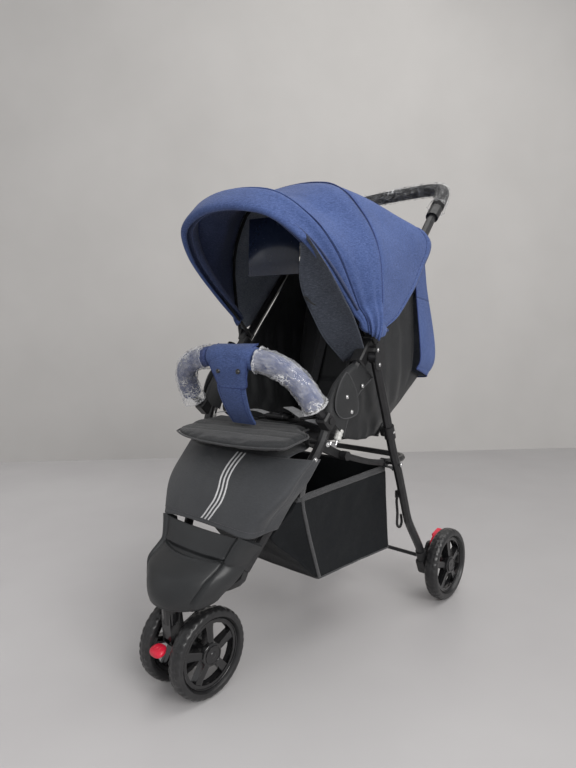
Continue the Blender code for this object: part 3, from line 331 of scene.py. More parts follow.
def floor_material():
    m = Nodes("pale_floor", 0.35, spec=0.4)
    geo = m.new("ShaderNodeNewGeometry")
    sep = m.new("ShaderNodeSeparateXYZ")
    m.link(geo.outputs["Position"], sep.inputs[0])
    # painted light: the floor's colour is lighter towards low x + y and darker towards high x + y, standing in for
    # uneven light across it
    across = m.math("ADD", m.math("MULTIPLY", sep.outputs[0], 0.69), m.math("MULTIPLY", sep.outputs[1], 0.72))
    painted_light_gradient = m.ramp(m.math("ADD", m.math("MULTIPLY", across, 0.5), 0.5), [(0.15, (1.16, 1.16, 1.16)), (0.5, (1.0, 1.0, 1.0)), (0.85, (0.84, 0.84, 0.84))])
    base = m.ramp(m.noise(1.6, detail=4.0), [(0.3, (0.49, 0.477, 0.482)), (0.7, (0.54, 0.53, 0.532))])
    m.link(m.mix(1.0, base, painted_light_gradient, "MULTIPLY"), m.b.inputs["Base Color"])
    m.link(m.range(m.noise(5.0, detail=6.0), 0.28, 0.45), m.b.inputs["Roughness"])
    return m.mat


def wall_material():
    m = Nodes("pale_wall", 0.9, spec=0.2)
    m.link(m.ramp(m.noise(2.5, detail=3.0), [(0.3, (0.530, 0.518, 0.504)), (0.7, (0.565, 0.552, 0.538))]), m.b.inputs["Base Color"])
    return m.mat


M = {}


def make_materials():
    M["blue"] = fabric("blue_melange", (0.032, 0.054, 0.142), (0.060, 0.098, 0.250), (0.115, 0.165, 0.365), rough=0.9, sheen=0.10, melange=1.1)
    M["blue_dark"] = fabric("blue_piping", (0.018, 0.030, 0.100), (0.032, 0.052, 0.165), (0.062, 0.090, 0.26), rough=0.9, sheen=0.1)
    M["lining"] = fabric("grey_melange", (0.135, 0.155, 0.195), (0.245, 0.275, 0.335), (0.40, 0.43, 0.48), rough=0.9, sheen=0.12)
    # painted shade: a darker copy of the blue mélange, used for the inside of the visor where it lies in shade
    M["navy"] = fabric("navy_lining", (0.028, 0.040, 0.092), (0.053, 0.070, 0.148), (0.094, 0.120, 0.22), rough=0.9, sheen=0.08)
    # painted light: a second tone of the grey mélange lining, set for the light that falls on the loose visor lining
    M["curtain"] = fabric("grey_melange_painted_light", (0.027, 0.032, 0.044), (0.052, 0.060, 0.080), (0.105, 0.120, 0.152), rough=0.9, sheen=0.15)
    M["black"] = fabric("black_oxford", (0.0070, 0.0078, 0.0088), (0.0118, 0.0128, 0.0142), (0.020, 0.0212, 0.0230), pitch=0.0008, rough=0.50, sheen=0.08, spec=0.5)
    M["charcoal"] = fabric("charcoal_oxford", (0.036, 0.038, 0.042), (0.046, 0.049, 0.054), (0.060, 0.063, 0.069), pitch=0.0008, rough=0.62, sheen=0.14, spec=0.35, crease=0.18)
    M["legrest"] = fabric("leg_rest_cloth", (0.018, 0.019, 0.0205), (0.025, 0.0265, 0.0285), (0.034, 0.036, 0.039), pitch=0.0009, rough=0.75, sheen=0.2, spec=0.35)
    M["binding"] = fabric("grey_binding", (0.030, 0.031, 0.033), (0.050, 0.051, 0.054), (0.085, 0.086, 0.09), pitch=0.0007, rough=0.75, sheen=0.2)
    M["basket"] = fabric("basket_cloth", (0.0045, 0.0055, 0.0065), (0.0075, 0.0088, 0.0105), (0.013, 0.015, 0.017), pitch=0.0008, rough=0.62, sheen=0.03, spec=0.18, crease=0.35)
    M["webbing"] = fabric("grey_webbing", (0.26, 0.265, 0.275), (0.40, 0.405, 0.415), (0.52, 0.53, 0.54), pitch=0.0016, rough=0.8, weave=0.8, sheen=0.2)
    M["stripe"] = fabric("white_print", (0.60, 0.60, 0.61), (0.72, 0.72, 0.73), (0.80, 0.80, 0.80), pitch=0.0008, rough=0.65, weave=0.5)
    M["thread"] = fabric("grey_thread", (0.05, 0.05, 0.055), (0.09, 0.09, 0.10), (0.14, 0.14, 0.15), pitch=0.0005, rough=0.7)
    M["nose"] = plastic("moulded_black", (0.020, 0.0215, 0.0230), 0.41, grain=0.20, wear=0.25)
    M["plastic"] = plastic("black_nylon", (0.014, 0.014, 0.015), 0.42, grain=0.15)
    M["gloss"] = plastic("gloss_black", (0.010, 0.010, 0.011), 0.20, grain=0.04, coat=0.35, wear=0.15)
    M["red"] = plastic("red_plastic", (0.72, 0.012, 0.045), 0.32, grain=0.05, coat=0.2, light=(0.85, 0.10, 0.12))
    M["white"] = plastic("off_white_plastic", (0.56, 0.56, 0.54), 0.45, grain=0.08, light=(0.66, 0.66, 0.64))
    M["steel"] = painted_steel("black_painted_steel")
    M["zinc"] = metal("zinc", (0.62, 0.62, 0.63), 0.32)
    M["snap"] = metal("snap_metal", (0.80, 0.80, 0.80), 0.22)
    M["rubber"] = rubber("tyre_foam_rubber")
    M["foam"] = foam("grip_foam")
    M["pad"] = fabric("bar_cloth", (0.026, 0.038, 0.105), (0.050, 0.072, 0.185), (0.095, 0.125, 0.27), rough=0.85, sheen=0.10)
    M["film"] = film("clear_film", 0.05, 0.80)
    M["film_thin"] = film("clear_film_thin", 0.002, 0.60)
    M["card"] = plastic("dark_card", (0.012, 0.020, 0.045), 0.25, grain=0.02, coat=0.4, wear=0.2)


# ================================================================== mesh helpers
def link(obj):
    bpy.context.scene.collection.objects.link(obj)
    return obj


def mesh_object(name, verts, faces, mats, index=None, smooth=True, recalc=True, sharp=None):
    me = bpy.data.meshes.new(name)
    me.from_pydata([tuple(float(c) for c in v) for v in verts], [], [tuple(int(i) for i in f) for f in faces])
    mats = mats if isinstance(mats, (list, tuple)) else [mats]
    for m in mats:
        me.materials.append(m)
    if index is not None:
        me.polygons.foreach_set("material_index", [int(i) for i in index])
    if recalc:
        bm = bmesh.new()
        bm.from_mesh(me)
        bmesh.ops.recalc_face_normals(bm, faces=bm.faces)
        bm.to_mesh(me)
        bm.free()
    if smooth:
        me.shade_smooth()
        if sharp:
            me.set_sharp_from_angle(angle=math.radians(sharp))
    me.update()
    return link(bpy.data.objects.new(name, me))


def join(name, objs):
    """One mesh object from several, keeping each one's materials."""
    verts, faces, index, mats, smooth = [], [], [], [], []
    for o in objs:
        base = len(verts)
        me = o.data
        slots = []
        for m in me.materials:
            if m not in mats:
                mats.append(m)
            slots.append(mats.index(m))
        mw = o.matrix_world
        verts += [mw @ v.co for v in me.vertices]
        for p in me.polygons:
            faces.append([base + i for i in p.vertices])
            index.append(slots[p.material_index] if slots else 0)
            smooth.append(p.use_smooth)
    sharp = any(o.data.attributes.get("sharp_edge") for o in objs)
    for o in objs:
        bpy.data.objects.remove(o, do_unlink=True)
    new = mesh_object(name, verts, faces, mats, index, smooth=False, recalc=False)
    new.data.polygons.foreach_set("use_smooth", smooth)
    if sharp:
        new.data.set_sharp_from_angle(angle=math.radians(45))
    return new


def crm(a, m, axis):
    """Catmull-Rom resampling of an array of control points along one axis to m points."""
    a = np.moveaxis(np.asarray(a, float), axis, 0)
    k = a.shape[0]
    t = np.linspace(0, k - 1, m)
    i = np.clip(np.floor(t).astype(int), 0, k - 2)
    f = (t - i).reshape((-1,) + (1,) * (a.ndim - 1))
    ext = np.concatenate([2 * a[:1] - a[1:2], a, 2 * a[-1:] - a[-2:-1]])
    p0, p1, p2, p3 = ext[i], ext[i + 1], ext[i + 2], ext[i + 3]
    out = 0.5 * ((2 * p1) + (p2 - p0) * f + (2 * p0 - 5 * p1 + 4 * p2 - p3) * f ** 2 + (3 * p1 - p0 - 3 * p2 + p3) * f ** 3)
    return np.moveaxis(out, 0, axis)


def dense(rows, r, c):
    g = np.array([[tuple(p) for p in row] for row in rows], float)
    return crm(crm(g, r, 0), c, 1)


def normals(g, away=None):
    n = np.cross(np.gradient(g, axis=1), np.gradient(g, axis=0))
    n /= np.maximum(np.linalg.norm(n, axis=2, keepdims=True), 1e-12)
    if away is not None and ((g - np.array(away)) * n).sum() < 0:
        n = -n
    return n


def smooth_path(points, per=6):
    return [Vector(p) for p in crm(np.array([tuple(p) for p in points]), (len(points) - 1) * per + 1, 0)]


def shell2(name, outer, inner, mats, fo=None, fi=None, sharp=None):
    """A closed thin shell between an outer and an inner grid of points; fo and fi choose each face's material."""
    r, c = outer.shape[:2]
    verts = np.concatenate([outer.reshape(-1, 3), inner.reshape(-1, 3)])
    faces, index = [], []
    off = r * c
    for i in range(r - 1):
        for j in range(c - 1):
            a, b, d, e = i * c + j, i * c + j + 1, (i + 1) * c + j + 1, (i + 1) * c + j
            faces.append((a, b, d, e))
            index.append(fo(i, j) if fo else 0)
            faces.append((off + e, off + d, off + b, off + a))
            index.append(fi(i, j) if fi else 0)
    loop = [(0, j) for j in range(c)] + [(i, c - 1) for i in range(1, r)] + [(r - 1, j) for j in range(c - 2, -1, -1)] + [(i, 0) for i in range(r - 2, 0, -1)]
    for k in range(len(loop)):
        (i0, j0), (i1, j1) = loop[k], loop[(k + 1) % len(loop)]
        a, b = i0 * c + j0, i1 * c + j1
        faces.append((b, a, off + a, off + b))
        index.append(fo(min(i0, i1, r - 2), min(j0, j1, c - 2)) if fo else 0)
    return mesh_object(name, verts, faces, mats, index, sharp=sharp)


def sheet_from(name, g, thick, mats, away=None, fo=None, fi=None, sharp=None):
    """A thin closed sheet from one grid: the grid is its outer face."""
    n = normals(g, away)
    return shell2(name, g, g - n * thick, mats, fo, fi, sharp)


def transport(path):
    """Points with steady side vectors along a path."""
    pts = [Vector(p) for p in path]
    tang = []
    for i in range(len(pts)):
        a, b = pts[max(0, i - 1)], pts[min(len(pts) - 1, i + 1)]
        tang.append((b - a).normalized())
    up = Vector((0, 0, 1)) if abs(tang[0].z) < 0.9 else Vector((1, 0, 0))
    u = (up - tang[0] * up.dot(tang[0])).normalized()
    out = []
    for i, (p, t) in enumerate(zip(pts, tang)):
        if i:
            u = u - t * u.dot(t)
            u.normalize()
        out.append((p, u.copy(), t.cross(u).normalized(), t))
    return out


def sweep(name, path, radius, mat, sides=20, closed=False, caps=True, shape=None, smooth=True, sharp=None):
    """A tube along a path; radius is a number or a function of (share along, angle), shape maps an angle to (u, v)."""
    fr = transport(path)
    verts, faces = [], []
    n = len(fr)
    for i, (p, u, v, t) in enumerate(fr):
        for k in range(sides):
            ang = 2 * math.pi * k / sides
            if shape:
                x, y = shape(i / max(1, n - 1), ang)
                q = p + u * x + v * y
            else:
                r = radius(i / max(1, n - 1), ang) if callable(radius) else radius
                q = p + (u * math.cos(ang) + v * math.sin(ang)) * r
            verts.append(q)
    last = n if closed else n - 1
    for i in range(last):
        i2 = (i + 1) % n
        for k in range(sides):
            k2 = (k + 1) % sides
            faces.append((i * sides + k, i * sides + k2, i2 * sides + k2, i2 * sides + k))
    if caps and not closed:
        faces.append(tuple(range(sides))[::-1])
        faces.append(tuple((n - 1) * sides + k for k in range(sides)))
    return mesh_object(name, verts, faces, mat, smooth=smooth, sharp=sharp)


def dome(name, at, axis, r, h, mat, sides=14, rings=4, ring=True):
    """A snap or rivet: a low dome with a flange, standing on a point along an axis."""
    axis = Vector(axis).normalized()
    side = axis.orthogonal().normalized()
    other = axis.cross(side)
    prof = [(r, -h * 0.6), (r, h * 0.15)]
    if ring:
        prof += [(r * 0.92, h * 0.35), (r * 0.72, h * 0.35), (r * 0.66, h * 0.2)]
    for i in range(rings + 1):
        a = math.pi / 2 * i / rings
        prof.append((r * 0.62 * math.cos(a), h * 0.25 + h * 0.75 * math.sin(a)))
    verts, faces = [], []
    prof = prof[:-1]
    for pr, ph in prof:
        for k in range(sides):
            ang = 2 * math.pi * k / sides
            verts.append(Vector(at) + axis * ph + (side * math.cos(ang) + other * math.sin(ang)) * pr)
    for i in range(len(prof) - 1):
        for k in range(sides):
            k2 = (k + 1) % sides
            faces.append((i * sides + k, i * sides + k2, (i + 1) * sides + k2, (i + 1) * sides + k))
    verts.append(Vector(at) + axis * h)
    top = len(verts) - 1
    i = len(prof) - 1
    for k in range(sides):
        faces.append((i * sides + k, i * sides + (k + 1) % sides, top))
    faces.append(tuple(range(sides))[::-1])
    return mesh_object(name, verts, faces, mat, sharp=40)


def n3(p, s, seed=0.0):
    return noise.noise(Vector((p[0] * s[0] + seed, p[1] * s[1] - seed, p[2] * s[2] + 2.3 * seed)))


def noise_grid(g, s, seed=0.0):
    r, c = g.shape[:2]
    return np.array([[n3(g[i, j], s, seed) for j in range(c)] for i in range(r)])


def apply_modifiers(obj):
    bpy.context.view_layer.update()
    graph = bpy.context.evaluated_depsgraph_get()
    me = bpy.data.meshes.new_from_object(obj.evaluated_get(graph))
    old = obj.data
    obj.modifiers.clear()
    obj.data = me
    bpy.data.meshes.remove(old)
    return obj


def puff(obj, voxel=0.005, pressure=4.0, cap=0.008, keep_flat=None):
    """Swells a closed pad with a short cloth simulation and keeps the result as its mesh."""
    mats = list(obj.data.materials)
    rm = obj.modifiers.new("remesh", "REMESH")
    rm.mode = "VOXEL"
    rm.voxel_size = voxel
    apply_modifiers(obj)
    sm = obj.modifiers.new("smooth", "SMOOTH")
    sm.factor = 0.5
    sm.iterations = 3
    apply_modifiers(obj)
    start = np.array([v.co for v in obj.data.vertices], float)
    scene = bpy.context.scene
    cl = obj.modifiers.new("cloth", "CLOTH")
    cl.settings.quality = 5
    cl.settings.mass = 0.3
    cl.settings.use_pressure = True
    cl.settings.uniform_pressure_force = pressure
    cl.settings.effector_weights.gravity = 0
    cl.settings.tension_stiffness = 12
    cl.settings.compression_stiffness = 12
    cl.settings.bending_stiffness = 0.3
    cl.point_cache.frame_start, cl.point_cache.frame_end = 1, 20
    scene.frame_start, scene.frame_end = 1, 20
    for f in range(1, 21):
        scene.frame_set(f)
    graph = bpy.context.evaluated_depsgraph_get()
    ev = obj.evaluated_get(graph)
    moved = np.array([v.co for v in ev.data.vertices], float)
    obj.modifiers.clear()
    scene.frame_set(1)
    d = moved - start
    length = np.linalg.norm(d, axis=1, keepdims=True)
    d *= np.minimum(1.0, cap / np.maximum(length, 1e-9))
    start = start + d
    obj.data.vertices.foreach_set("co", start.astype(np.float32).ravel())
    obj.data.update()
    ss = obj.modifiers.new("sub", "SUBSURF")
    ss.levels = ss.render_levels = 1
    apply_modifiers(obj)
    obj.data.materials.clear()
    for m in mats:
        obj.data.materials.append(m)
    obj.data.shade_smooth()
    return obj


def sculpt(obj, fn):
    """Moves each point along its normal by fn(point, normal)."""
    me = obj.data
    co = np.array([v.co for v in me.vertices], float)
    nr = np.array([v.normal for v in me.vertices], float)
    d = np.array([fn(p, n) for p, n in zip(co, nr)], float)
    me.vertices.foreach_set("co", (co + nr * d[:, None]).astype(np.float32).ravel())
    me.update()
    return obj


def loft_solid(name, rings, mat, smooth=True):
    verts, faces = [], []
    n = len(rings[0])
    for ring in rings:
        verts += list(ring)
    for i in range(len(rings) - 1):
        for k in range(n):
            k2 = (k + 1) % n
            faces.append((i * n + k, i * n + k2, (i + 1) * n + k2, (i + 1) * n + k))
    faces.append(tuple(range(n))[::-1])
    faces.append(tuple((len(rings) - 1) * n + k for k in range(n)))
    return mesh_object(name, verts, faces, mat, smooth=smooth)


def bevel_box(name, centre, size, bevel, mat, turn=None, segments=3):
    bm = bmesh.new()
    bmesh.ops.create_cube(bm, size=1.0)
    bmesh.ops.scale(bm, vec=Vector(size), verts=bm.verts)
    bmesh.ops.bevel(bm, geom=list(bm.edges), offset=bevel, segments=segments, affect="EDGES", profile=0.5)
    m = Matrix.Translation(Vector(centre))
    if turn is not None:
        m = m @ turn.to_4x4()
    bmesh.ops.transform(bm, matrix=m, verts=bm.verts)
    me = bpy.data.meshes.new(name)
    bm.to_mesh(me)
    bm.free()
    me.materials.append(mat)
    me.shade_smooth()
    me.set_sharp_from_angle(angle=math.radians(50))
    return link(bpy.data.objects.new(name, me))


def put(obj, body, replaces=()):
    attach(obj, body)
    if replaces:
        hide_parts(*replaces)
    return obj


# ================================================================== curves shared with the frame
def side_tube_points(s, per=4):
    half = [(0.088, 0.050, 0.228), (0.097, 0.072, 0.262), (0.115, 0.104, 0.318), (0.133, 0.132, 0.365), (0.150, 0.161, 0.411),
            (0.160, 0.180, 0.448), (0.165, 0.200, 0.492), (0.169, 0.244, 0.549), (0.1705, 0.285, 0.596)]
    return smooth_path([P(s * x, y, z) for x, y, z in half], per)


def handle_points(per=4):
    h = [(0.1712, 0.3055, 0.6196), (0.1745, 0.360, 0.682), (0.178, 0.440, 0.772), (0.180, 0.515, 0.857), (0.1785, 0.562, 0.909),
         (0.1715, 0.612, 0.951), (0.1530, 0.654, 0.980), (0.1140, 0.676, 0.994), (0.0600, 0.686, 0.999), (0.0, 0.6885, 1.000)]
    return smooth_path([P(-x, y, z) for x, y, z in h] + [P(x, y, z) for x, y, z in h[:-1][::-1]], per)


def leg_points(s, per=4):
    pts = [(0.195, 0.300, 0.598), (0.191, 0.330, 0.532), (0.187, 0.353, 0.488), (0.180, 0.393, 0.403), (0.1755, 0.424, 0.351),
           (0.172, 0.449, 0.299), (0.169, 0.468, 0.260), (0.1665, 0.487, 0.222), (0.165, 0.518, 0.180), (0.164, 0.546, 0.142), (0.1635, 0.562, 0.110)]
    return smooth_path([P(s * x, y, z) for x, y, z in pts], per)


def bow(al, k, xs, fs, radius, out=0.0, n=24):
    x = [xs[0], xs[1], xs[2], xs[3], xs[4], 0.0]
    r = [0.0, 0.28 * radius, 0.55 * radius, fs[0] * radius, fs[1] * radius, radius]
    pts = [(a, b, 0) for a, b in zip(x, r)]
    full = pts + [(-p[0], p[1], 0) for p in pts[-2::-1]]
    line = smooth_path(full, 6)
    cum = [0.0]
    for a, b in zip(line, line[1:]):
        cum.append(cum[-1] + (b - a).length)
    res = []
    for i in range(n + 1):
        t = cum[-1] * i / n
        j = max(1, next((q for q, v in enumerate(cum) if v >= t - 1e-12), len(cum) - 1))
        f = (t - cum[j - 1]) / (cum[j] - cum[j - 1])
        p = line[j - 1].lerp(line[j], f)
        tangent = (line[j] - line[j - 1]).normalized()
        normal = Vector((tangent.y, -tangent.x, 0))
        if normal.dot(Vector((p.x, p.y - radius * 0.3, 0))) < 0:
            normal = -normal
        p = p + normal * out
        ang = math.radians(al + k * max(0.0, min(1.0, p.y / radius)))
        res.append(P(p.x, CANOPY_PIVOT[0] + p.y * math.cos(ang), CANOPY_PIVOT[1] + p.y * math.sin(ang)))
    return res


FRONT_X = (0.158, 0.163, 0.162, 0.148, 0.104)
FRONT_F = (0.748, 0.925)
FRONT_R = 0.3374
SEAM_X = (0.172, 0.182, 0.186, 0.165, 0.109)
SEAM_F = (0.769, 0.943)
SEAM_R = 0.3486
MID_X = (0.193, 0.199, 0.195, 0.165, 0.109)
MID_F = (0.770, 0.951)
MID_R = 0.3045
HOOD = tuple(A(0, 0.36, 0.70))


# ================================================================== canopy
def build_canopy():
    n = 96
    cut = 7
    controls = [bow(138.5, -1.0, FRONT_X, FRONT_F, FRONT_R - 0.012, 0.0065, n),
                bow(138.8, -1.2, FRONT_X, FRONT_F, FRONT_R - 0.001, 0.0070, n),
                bow(135.7, -3.0, FRONT_X, FRONT_F, FRONT_R + 0.001, 0.0090, n),
                bow(132.5, -4.0, SEAM_X, SEAM_F, SEAM_R, 0.0, n),
                bow(128.5, -2.0, SEAM_X, SEAM_F, SEAM_R - 0.004, 0.0, n),
                bow(118.5, -2.0, (0.180, 0.189, 0.189, 0.164, 0.109), SEAM_F, 0.3270, 0.0, n),
                bow(106.0, 1.0, (0.187, 0.196, 0.194, 0.166, 0.110), MID_F, 0.3130, 0.002, n),
                bow(94.5, 3.0, MID_X, MID_F, MID_R, 0.0072, n)]
    controls = [c[cut:-cut] for c in controls]
    # both sides run on down over the fold joints to a point
    tip_front, tip = (0.1720, 0.2780, 0.6580), (0.2125, 0.2880, 0.6300)
    grown = []
    for k, c in enumerate(controls):
        f = min(1.0, max(0.0, k / 7)) ** 0.8
        drop = np.array(tip_front) + (np.array(tip) - np.array(tip_front)) * f
        row = list(c)
        for s in (1, -1):
            end = row[0] if s > 0 else row[-1]
            aim = P(drop[0], drop[1], drop[2]) if s > 0 else P(-0.1960 + 0.028 * (1 - f), 0.3100 - 0.030 * (1 - f), 0.6660 + 0.004 * (1 - f))
            extra = []
            for q in range(1, 7):
                w = q / 6
                m = end.lerp(aim, w)
                m.x += s * 0.006 * math.sin(math.pi * w)
                extra.append(m)
            row = extra[::-1] + row if s > 0 else row + extra
        grown.append(row)
    controls = grown
    per = 6
    g = dense(controls, (len(controls) - 1) * per + 1, len(controls[0]))
    nr = normals(g, HOOD)
    R, C = g.shape[:2]
    v = np.arange(R) / per                      # 0..7, whole numbers at the controls
    # the far side of the visor is drawn in a little
    lean = np.clip((7 - v) / 7, 0, 1)[:, None] ** 0.7 * np.clip(-g[:, :, 0] / 0.10, 0, 1)
    g[:, :, 0] *= 1 - 0.065 * lean
    crest = np.clip((g[:, :, 2] - 0.78) / 0.10, 0, 1)
    roll = np.where(v < 3, np.sin(np.pi * np.clip(v, 0, 3) / 3) ** 0.6, 0.0)
    swell = 0.0052 * roll
    band = np.where((v > 3) & (v < 4), 0.0022 * np.sin(np.pi * (v - 3)), 0.0)
    groove = -0.0042 * np.exp(-((v - 3) / 0.20) ** 2) - 0.0026 * np.exp(-((v - 4) / 0.18) ** 2)
    puffy = np.where(v > 4, 0.0020 * np.sin(np.pi * (v - 4) / 3), 0.0)
    # the cloth dips between the two arches along the top
    hump = np.interp(v, (0, 1, 2, 3, 3.5, 4, 4.6, 5.3, 6, 6.5, 7), (0, -0.0010, -0.0035, -0.0060, -0.0090, -0.0155, -0.0260, -0.0300, -0.0170, -0.0060, -0.0020))
    g = g + nr * (hump[:, None] * crest)[:, :, None]
    # folds that run along the hoops and gather towards the two feet
    j = np.linspace(-1, 1, C)
    foot = np.abs(j) ** 3
    wob = noise_grid(g, (7.0, 16.0, 9.0), 1.7) * 0.0022 + noise_grid(g, (22.0, 40.0, 22.0), 5.1) * 0.0009
    gather = np.sin(v[:, None] * 5.2 + 2.0 * j[None, :]) * 0.0016 * foot[None, :]
    inner_part = np.clip((v - 3.2) / 0.8, 0, 1)[:, None]
    # folds that fan out from the low points at both sides
    low_end = np.clip((0.80 - g[:, :, 2]) / 0.16, 0, 1)
    fan = np.sin(v * 4.6 + 0.6 * np.sin(v * 2.1))[:, None] * 0.0026 * low_end + np.sin(v * 9.7 + 1.0)[:, None] * 0.0006 * low_end
    d = (swell + band + groove + puffy)[:, None] + fan * inner_part + wob * (0.45 + 0.75 * inner_part) + gather * inner_part
    edge = np.clip((7 - v) / 0.6, 0, 1)[:, None]
    outer = g + nr * (d * edge)[:, :, None]
    # the roll is padded on its inner side too
    deep = 0.0024 + 0.0150 * roll
    inner = g - nr * deep[:, None, None] + nr * ((wob * inner_part) * edge)[:, :, None]
    # the visor's inside is blue on its first row and painted shade, the darker blue copy, beyond it
    front = shell2("canopy_front_fabric", outer, inner, [M["blue"], M["navy"]],
                   fi=lambda a, b: 0 if a < 1 else 1)
    parts = [front]
    for key, row, rad, lift in (("a", 3 * per, 0.0015, 0.0004), ("b", 4 * per, 0.0011, 0.0000)):
        line = [Vector(outer[row, q] + nr[row, q] * lift) for q in range(0, C)]
        parts.append(sweep("seam_" + key, line, rad, M["blue_dark"], 6))
    front = join("canopy_front_fabric", parts)

    # rear part, from the middle arch to the edge behind the handle
    start = bow(94.3, 3.0, MID_X, MID_F, MID_R, 0.0072, 24)[1:-1]
    half = [(0.2010, 0.332, 0.655), (0.2000, 0.375, 0.676), (0.1985, 0.418, 0.710), (0.1980, 0.458, 0.750), (0.1975, 0.490, 0.788), (0.1970, 0.512, 0.818),
            (0.1950, 0.517, 0.842), (0.1875, 0.4980, 0.8615), (0.1665, 0.5020, 0.8710), (0.1250, 0.5170, 0.8820), (0.0640, 0.5300, 0.8900), (0.0, 0.5340, 0.8920)]
    end = [P(-a, b, c) for a, b, c in half] + [P(a, b, c) for a, b, c in half[::-1][1:]]
    if (start[0] - end[0]).length > (start[0] - end[-1]).length:
        end = end[::-1]
    rows = []
    for k in range(6):
        t = k / 5
        row = []
        for i, (a, b) in enumerate(zip(start, end)):
            p = a.lerp(b, t)
            crown = math.sin(math.pi * i / (len(start) - 1))
            lift = 0.005 * math.sin(math.pi * t) * crown
            row.append(p + Vector((0, 0.35 * lift, lift)))
        rows.append(row)
    grown = []
    for k, row in enumerate(rows):
        row = list(row)
        for s in (1, -1):
            end = row[0] if s * row[0].x > 0 else row[-1]
            f = (k / 5) ** 0.85
            low = tip if s > 0 else (0.1960, 0.3100, 0.6660)
            aim = P(s * (low[0] + (0.2030 - low[0]) * f), low[1] + (0.3360 - low[1]) * f, low[2] + (0.6460 - low[2]) * f)
            extra = []
            for q in range(1, 6):
                w = q / 5
                m = end.lerp(aim, w)
                m.x += s * 0.004 * math.sin(math.pi * w)
                extra.append(m)
            row = extra[::-1] + row if s * row[0].x > 0 else row + extra
        grown.append(row)
    rows = grown
    g = dense(rows, 31, 121)
    nr = normals(g, HOOD)
    R, C = g.shape[:2]
    t = np.linspace(0, 1, R)
    j = np.linspace(-1, 1, C)
    wob = noise_grid(g, (9.0, 9.0, 14.0), 3.3) * 0.0028 + noise_grid(g, (26.0, 26.0, 30.0), 8.2) * 0.0010
    pleat = np.sin(t[:, None] * 9.0 + 3.0 * np.abs(j)[None, :]) * 0.0018 * (np.abs(j) ** 4)[None, :]
    hem = 0.0012 * ((t > 0.95).astype(float)) - 0.0010 * np.exp(-((t - 0.935) / 0.012) ** 2)
    ease = np.clip(t / 0.08, 0, 1)[:, None]
    d = (wob + pleat) * ease + hem[:, None] - 0.0014 * np.exp(-(t / 0.02) ** 2)[:, None]
    outer = g + nr * d[:, :, None]
    inner = outer - nr * 0.0022
    rear = shell2("canopy_rear_fabric", outer, inner, [M["blue"], M["lining"]], fi=lambda a, b: 1)
    # piping along the middle arch and a stitched line along the hem
    pipe = sweep("pipe", [Vector(outer[0, q] + nr[0, q] * 0.0006) for q in range(C)], 0.0014, M["blue_dark"], 8)
    row = int(0.935 * (R - 1))
    stitch = []
    for q in range(2, C - 3, 1):
        a = Vector(outer[row, q] + nr[row, q] * 0.0003)
        b = Vector(outer[row, q + 1] + nr[row, q + 1] * 0.0003)
        stitch.append(sweep("st", [a.lerp(b, 0.12), a.lerp(b, 0.5) + Vector(nr[row, q]) * 0.0003, a.lerp(b, 0.88)], 0.00045, M["blue_dark"], 5))
    rear = join("canopy_rear_fabric", [rear, pipe] + stitch)

    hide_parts("canopy_front_panel")
    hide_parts("canopy_rear_panel")
    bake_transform(front)
    d = np.array((0, math.cos(math.radians(161)), math.sin(math.radians(161))))
    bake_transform(rear)

    # loose lining that hangs inside the near side of the visor, in a painted-light copy of the grey mélange
    edge_pts = [(0.170, 0.124, 0.809), (0.176, 0.141, 0.790), (0.180, 0.164, 0.764), (0.184, 0.196, 0.728), (0.186, 0.232, 0.686), (0.184, 0.262, 0.648), (0.178, 0.296, 0.604)]
    free_pts = [(0.152, 0.133, 0.800), (0.138, 0.149, 0.781), (0.122, 0.164, 0.754), (0.112, 0.184, 0.722), (0.113, 0.213, 0.676), (0.117, 0.246, 0.632), (0.128, 0.292, 0.588)]
    rows = []
    for k in range(5):
        t = k / 4
        rows.append([P(a[0] + (b[0] - a[0]) * t, a[1] + (b[1] - a[1]) * t + 0.007 * math.sin(math.pi * t), a[2] + (b[2] - a[2]) * t)
                     for a, b in zip(edge_pts, free_pts)])
    g = dense(rows, 21, 49)
    nr = normals(g, tuple(A(0, 0.6, 0.7)))
    g = g + nr * (noise_grid(g, (18, 26, 18), 5.0) * 0.0030)[:, :, None]
    o = sheet_from("visor_lining", g, 0.0016, [M["curtain"]], tuple(A(0, 0.6, 0.7)))
    hem = sweep("hem", [Vector(p) for p in g[-1]], 0.0013, M["curtain"], 6)
    tab = flat_strap("tab", smooth_path([P(0.113, 0.1905, 0.7130), P(0.124, 0.1880, 0.7040), P(0.137, 0.1890, 0.6960)], 4), 0.0042, 0.0009, M["black"])
    o = join("visor_lining", [o, hem, tab])
    put(o, "canopy_front")


def build_clips():
    """Plastic clips that hold the canopy wires on the handle tube, above the fold joints."""
    for s, side in ((1, "right"), (-1, "left")):
        body = bevel_box("clip", P(s * 0.1770, 0.3200, 0.6390), (0.0225, 0.0250, 0.0330), 0.004, M["plastic"], Matrix.Rotation(-0.72, 3, "X"))
        ear = bevel_box("ear", P(s * 0.1865, 0.3175, 0.6440), (0.0060, 0.0210, 0.0250), 0.0026, M["plastic"], Matrix.Rotation(-0.35, 3, "X"))
        knob = dome("knob", P(s * 0.1892, 0.3175, 0.6440), (s, 0, 0), 0.0058, 0.0028, M["plastic"])
        put(join("canopy_clip_" + side, [body, ear, knob]), "frame")


# ================================================================== nose
def nose_ring(w, yf, ye, zf, ze, n=16, power=0.75, far_w=None, far_power=None):
    ring = []
    for i in range(n + 1):
        a = -math.pi / 2 + math.pi * i / n
        q, wide = (far_power or power, far_w or w) if a < 0 else (power, w)
        c = max(0.0, math.cos(a)) ** q
        ring.append(P(wide * math.sin(a), ye - (ye - yf) * c, ze + (zf - ze) * c))
    return ring


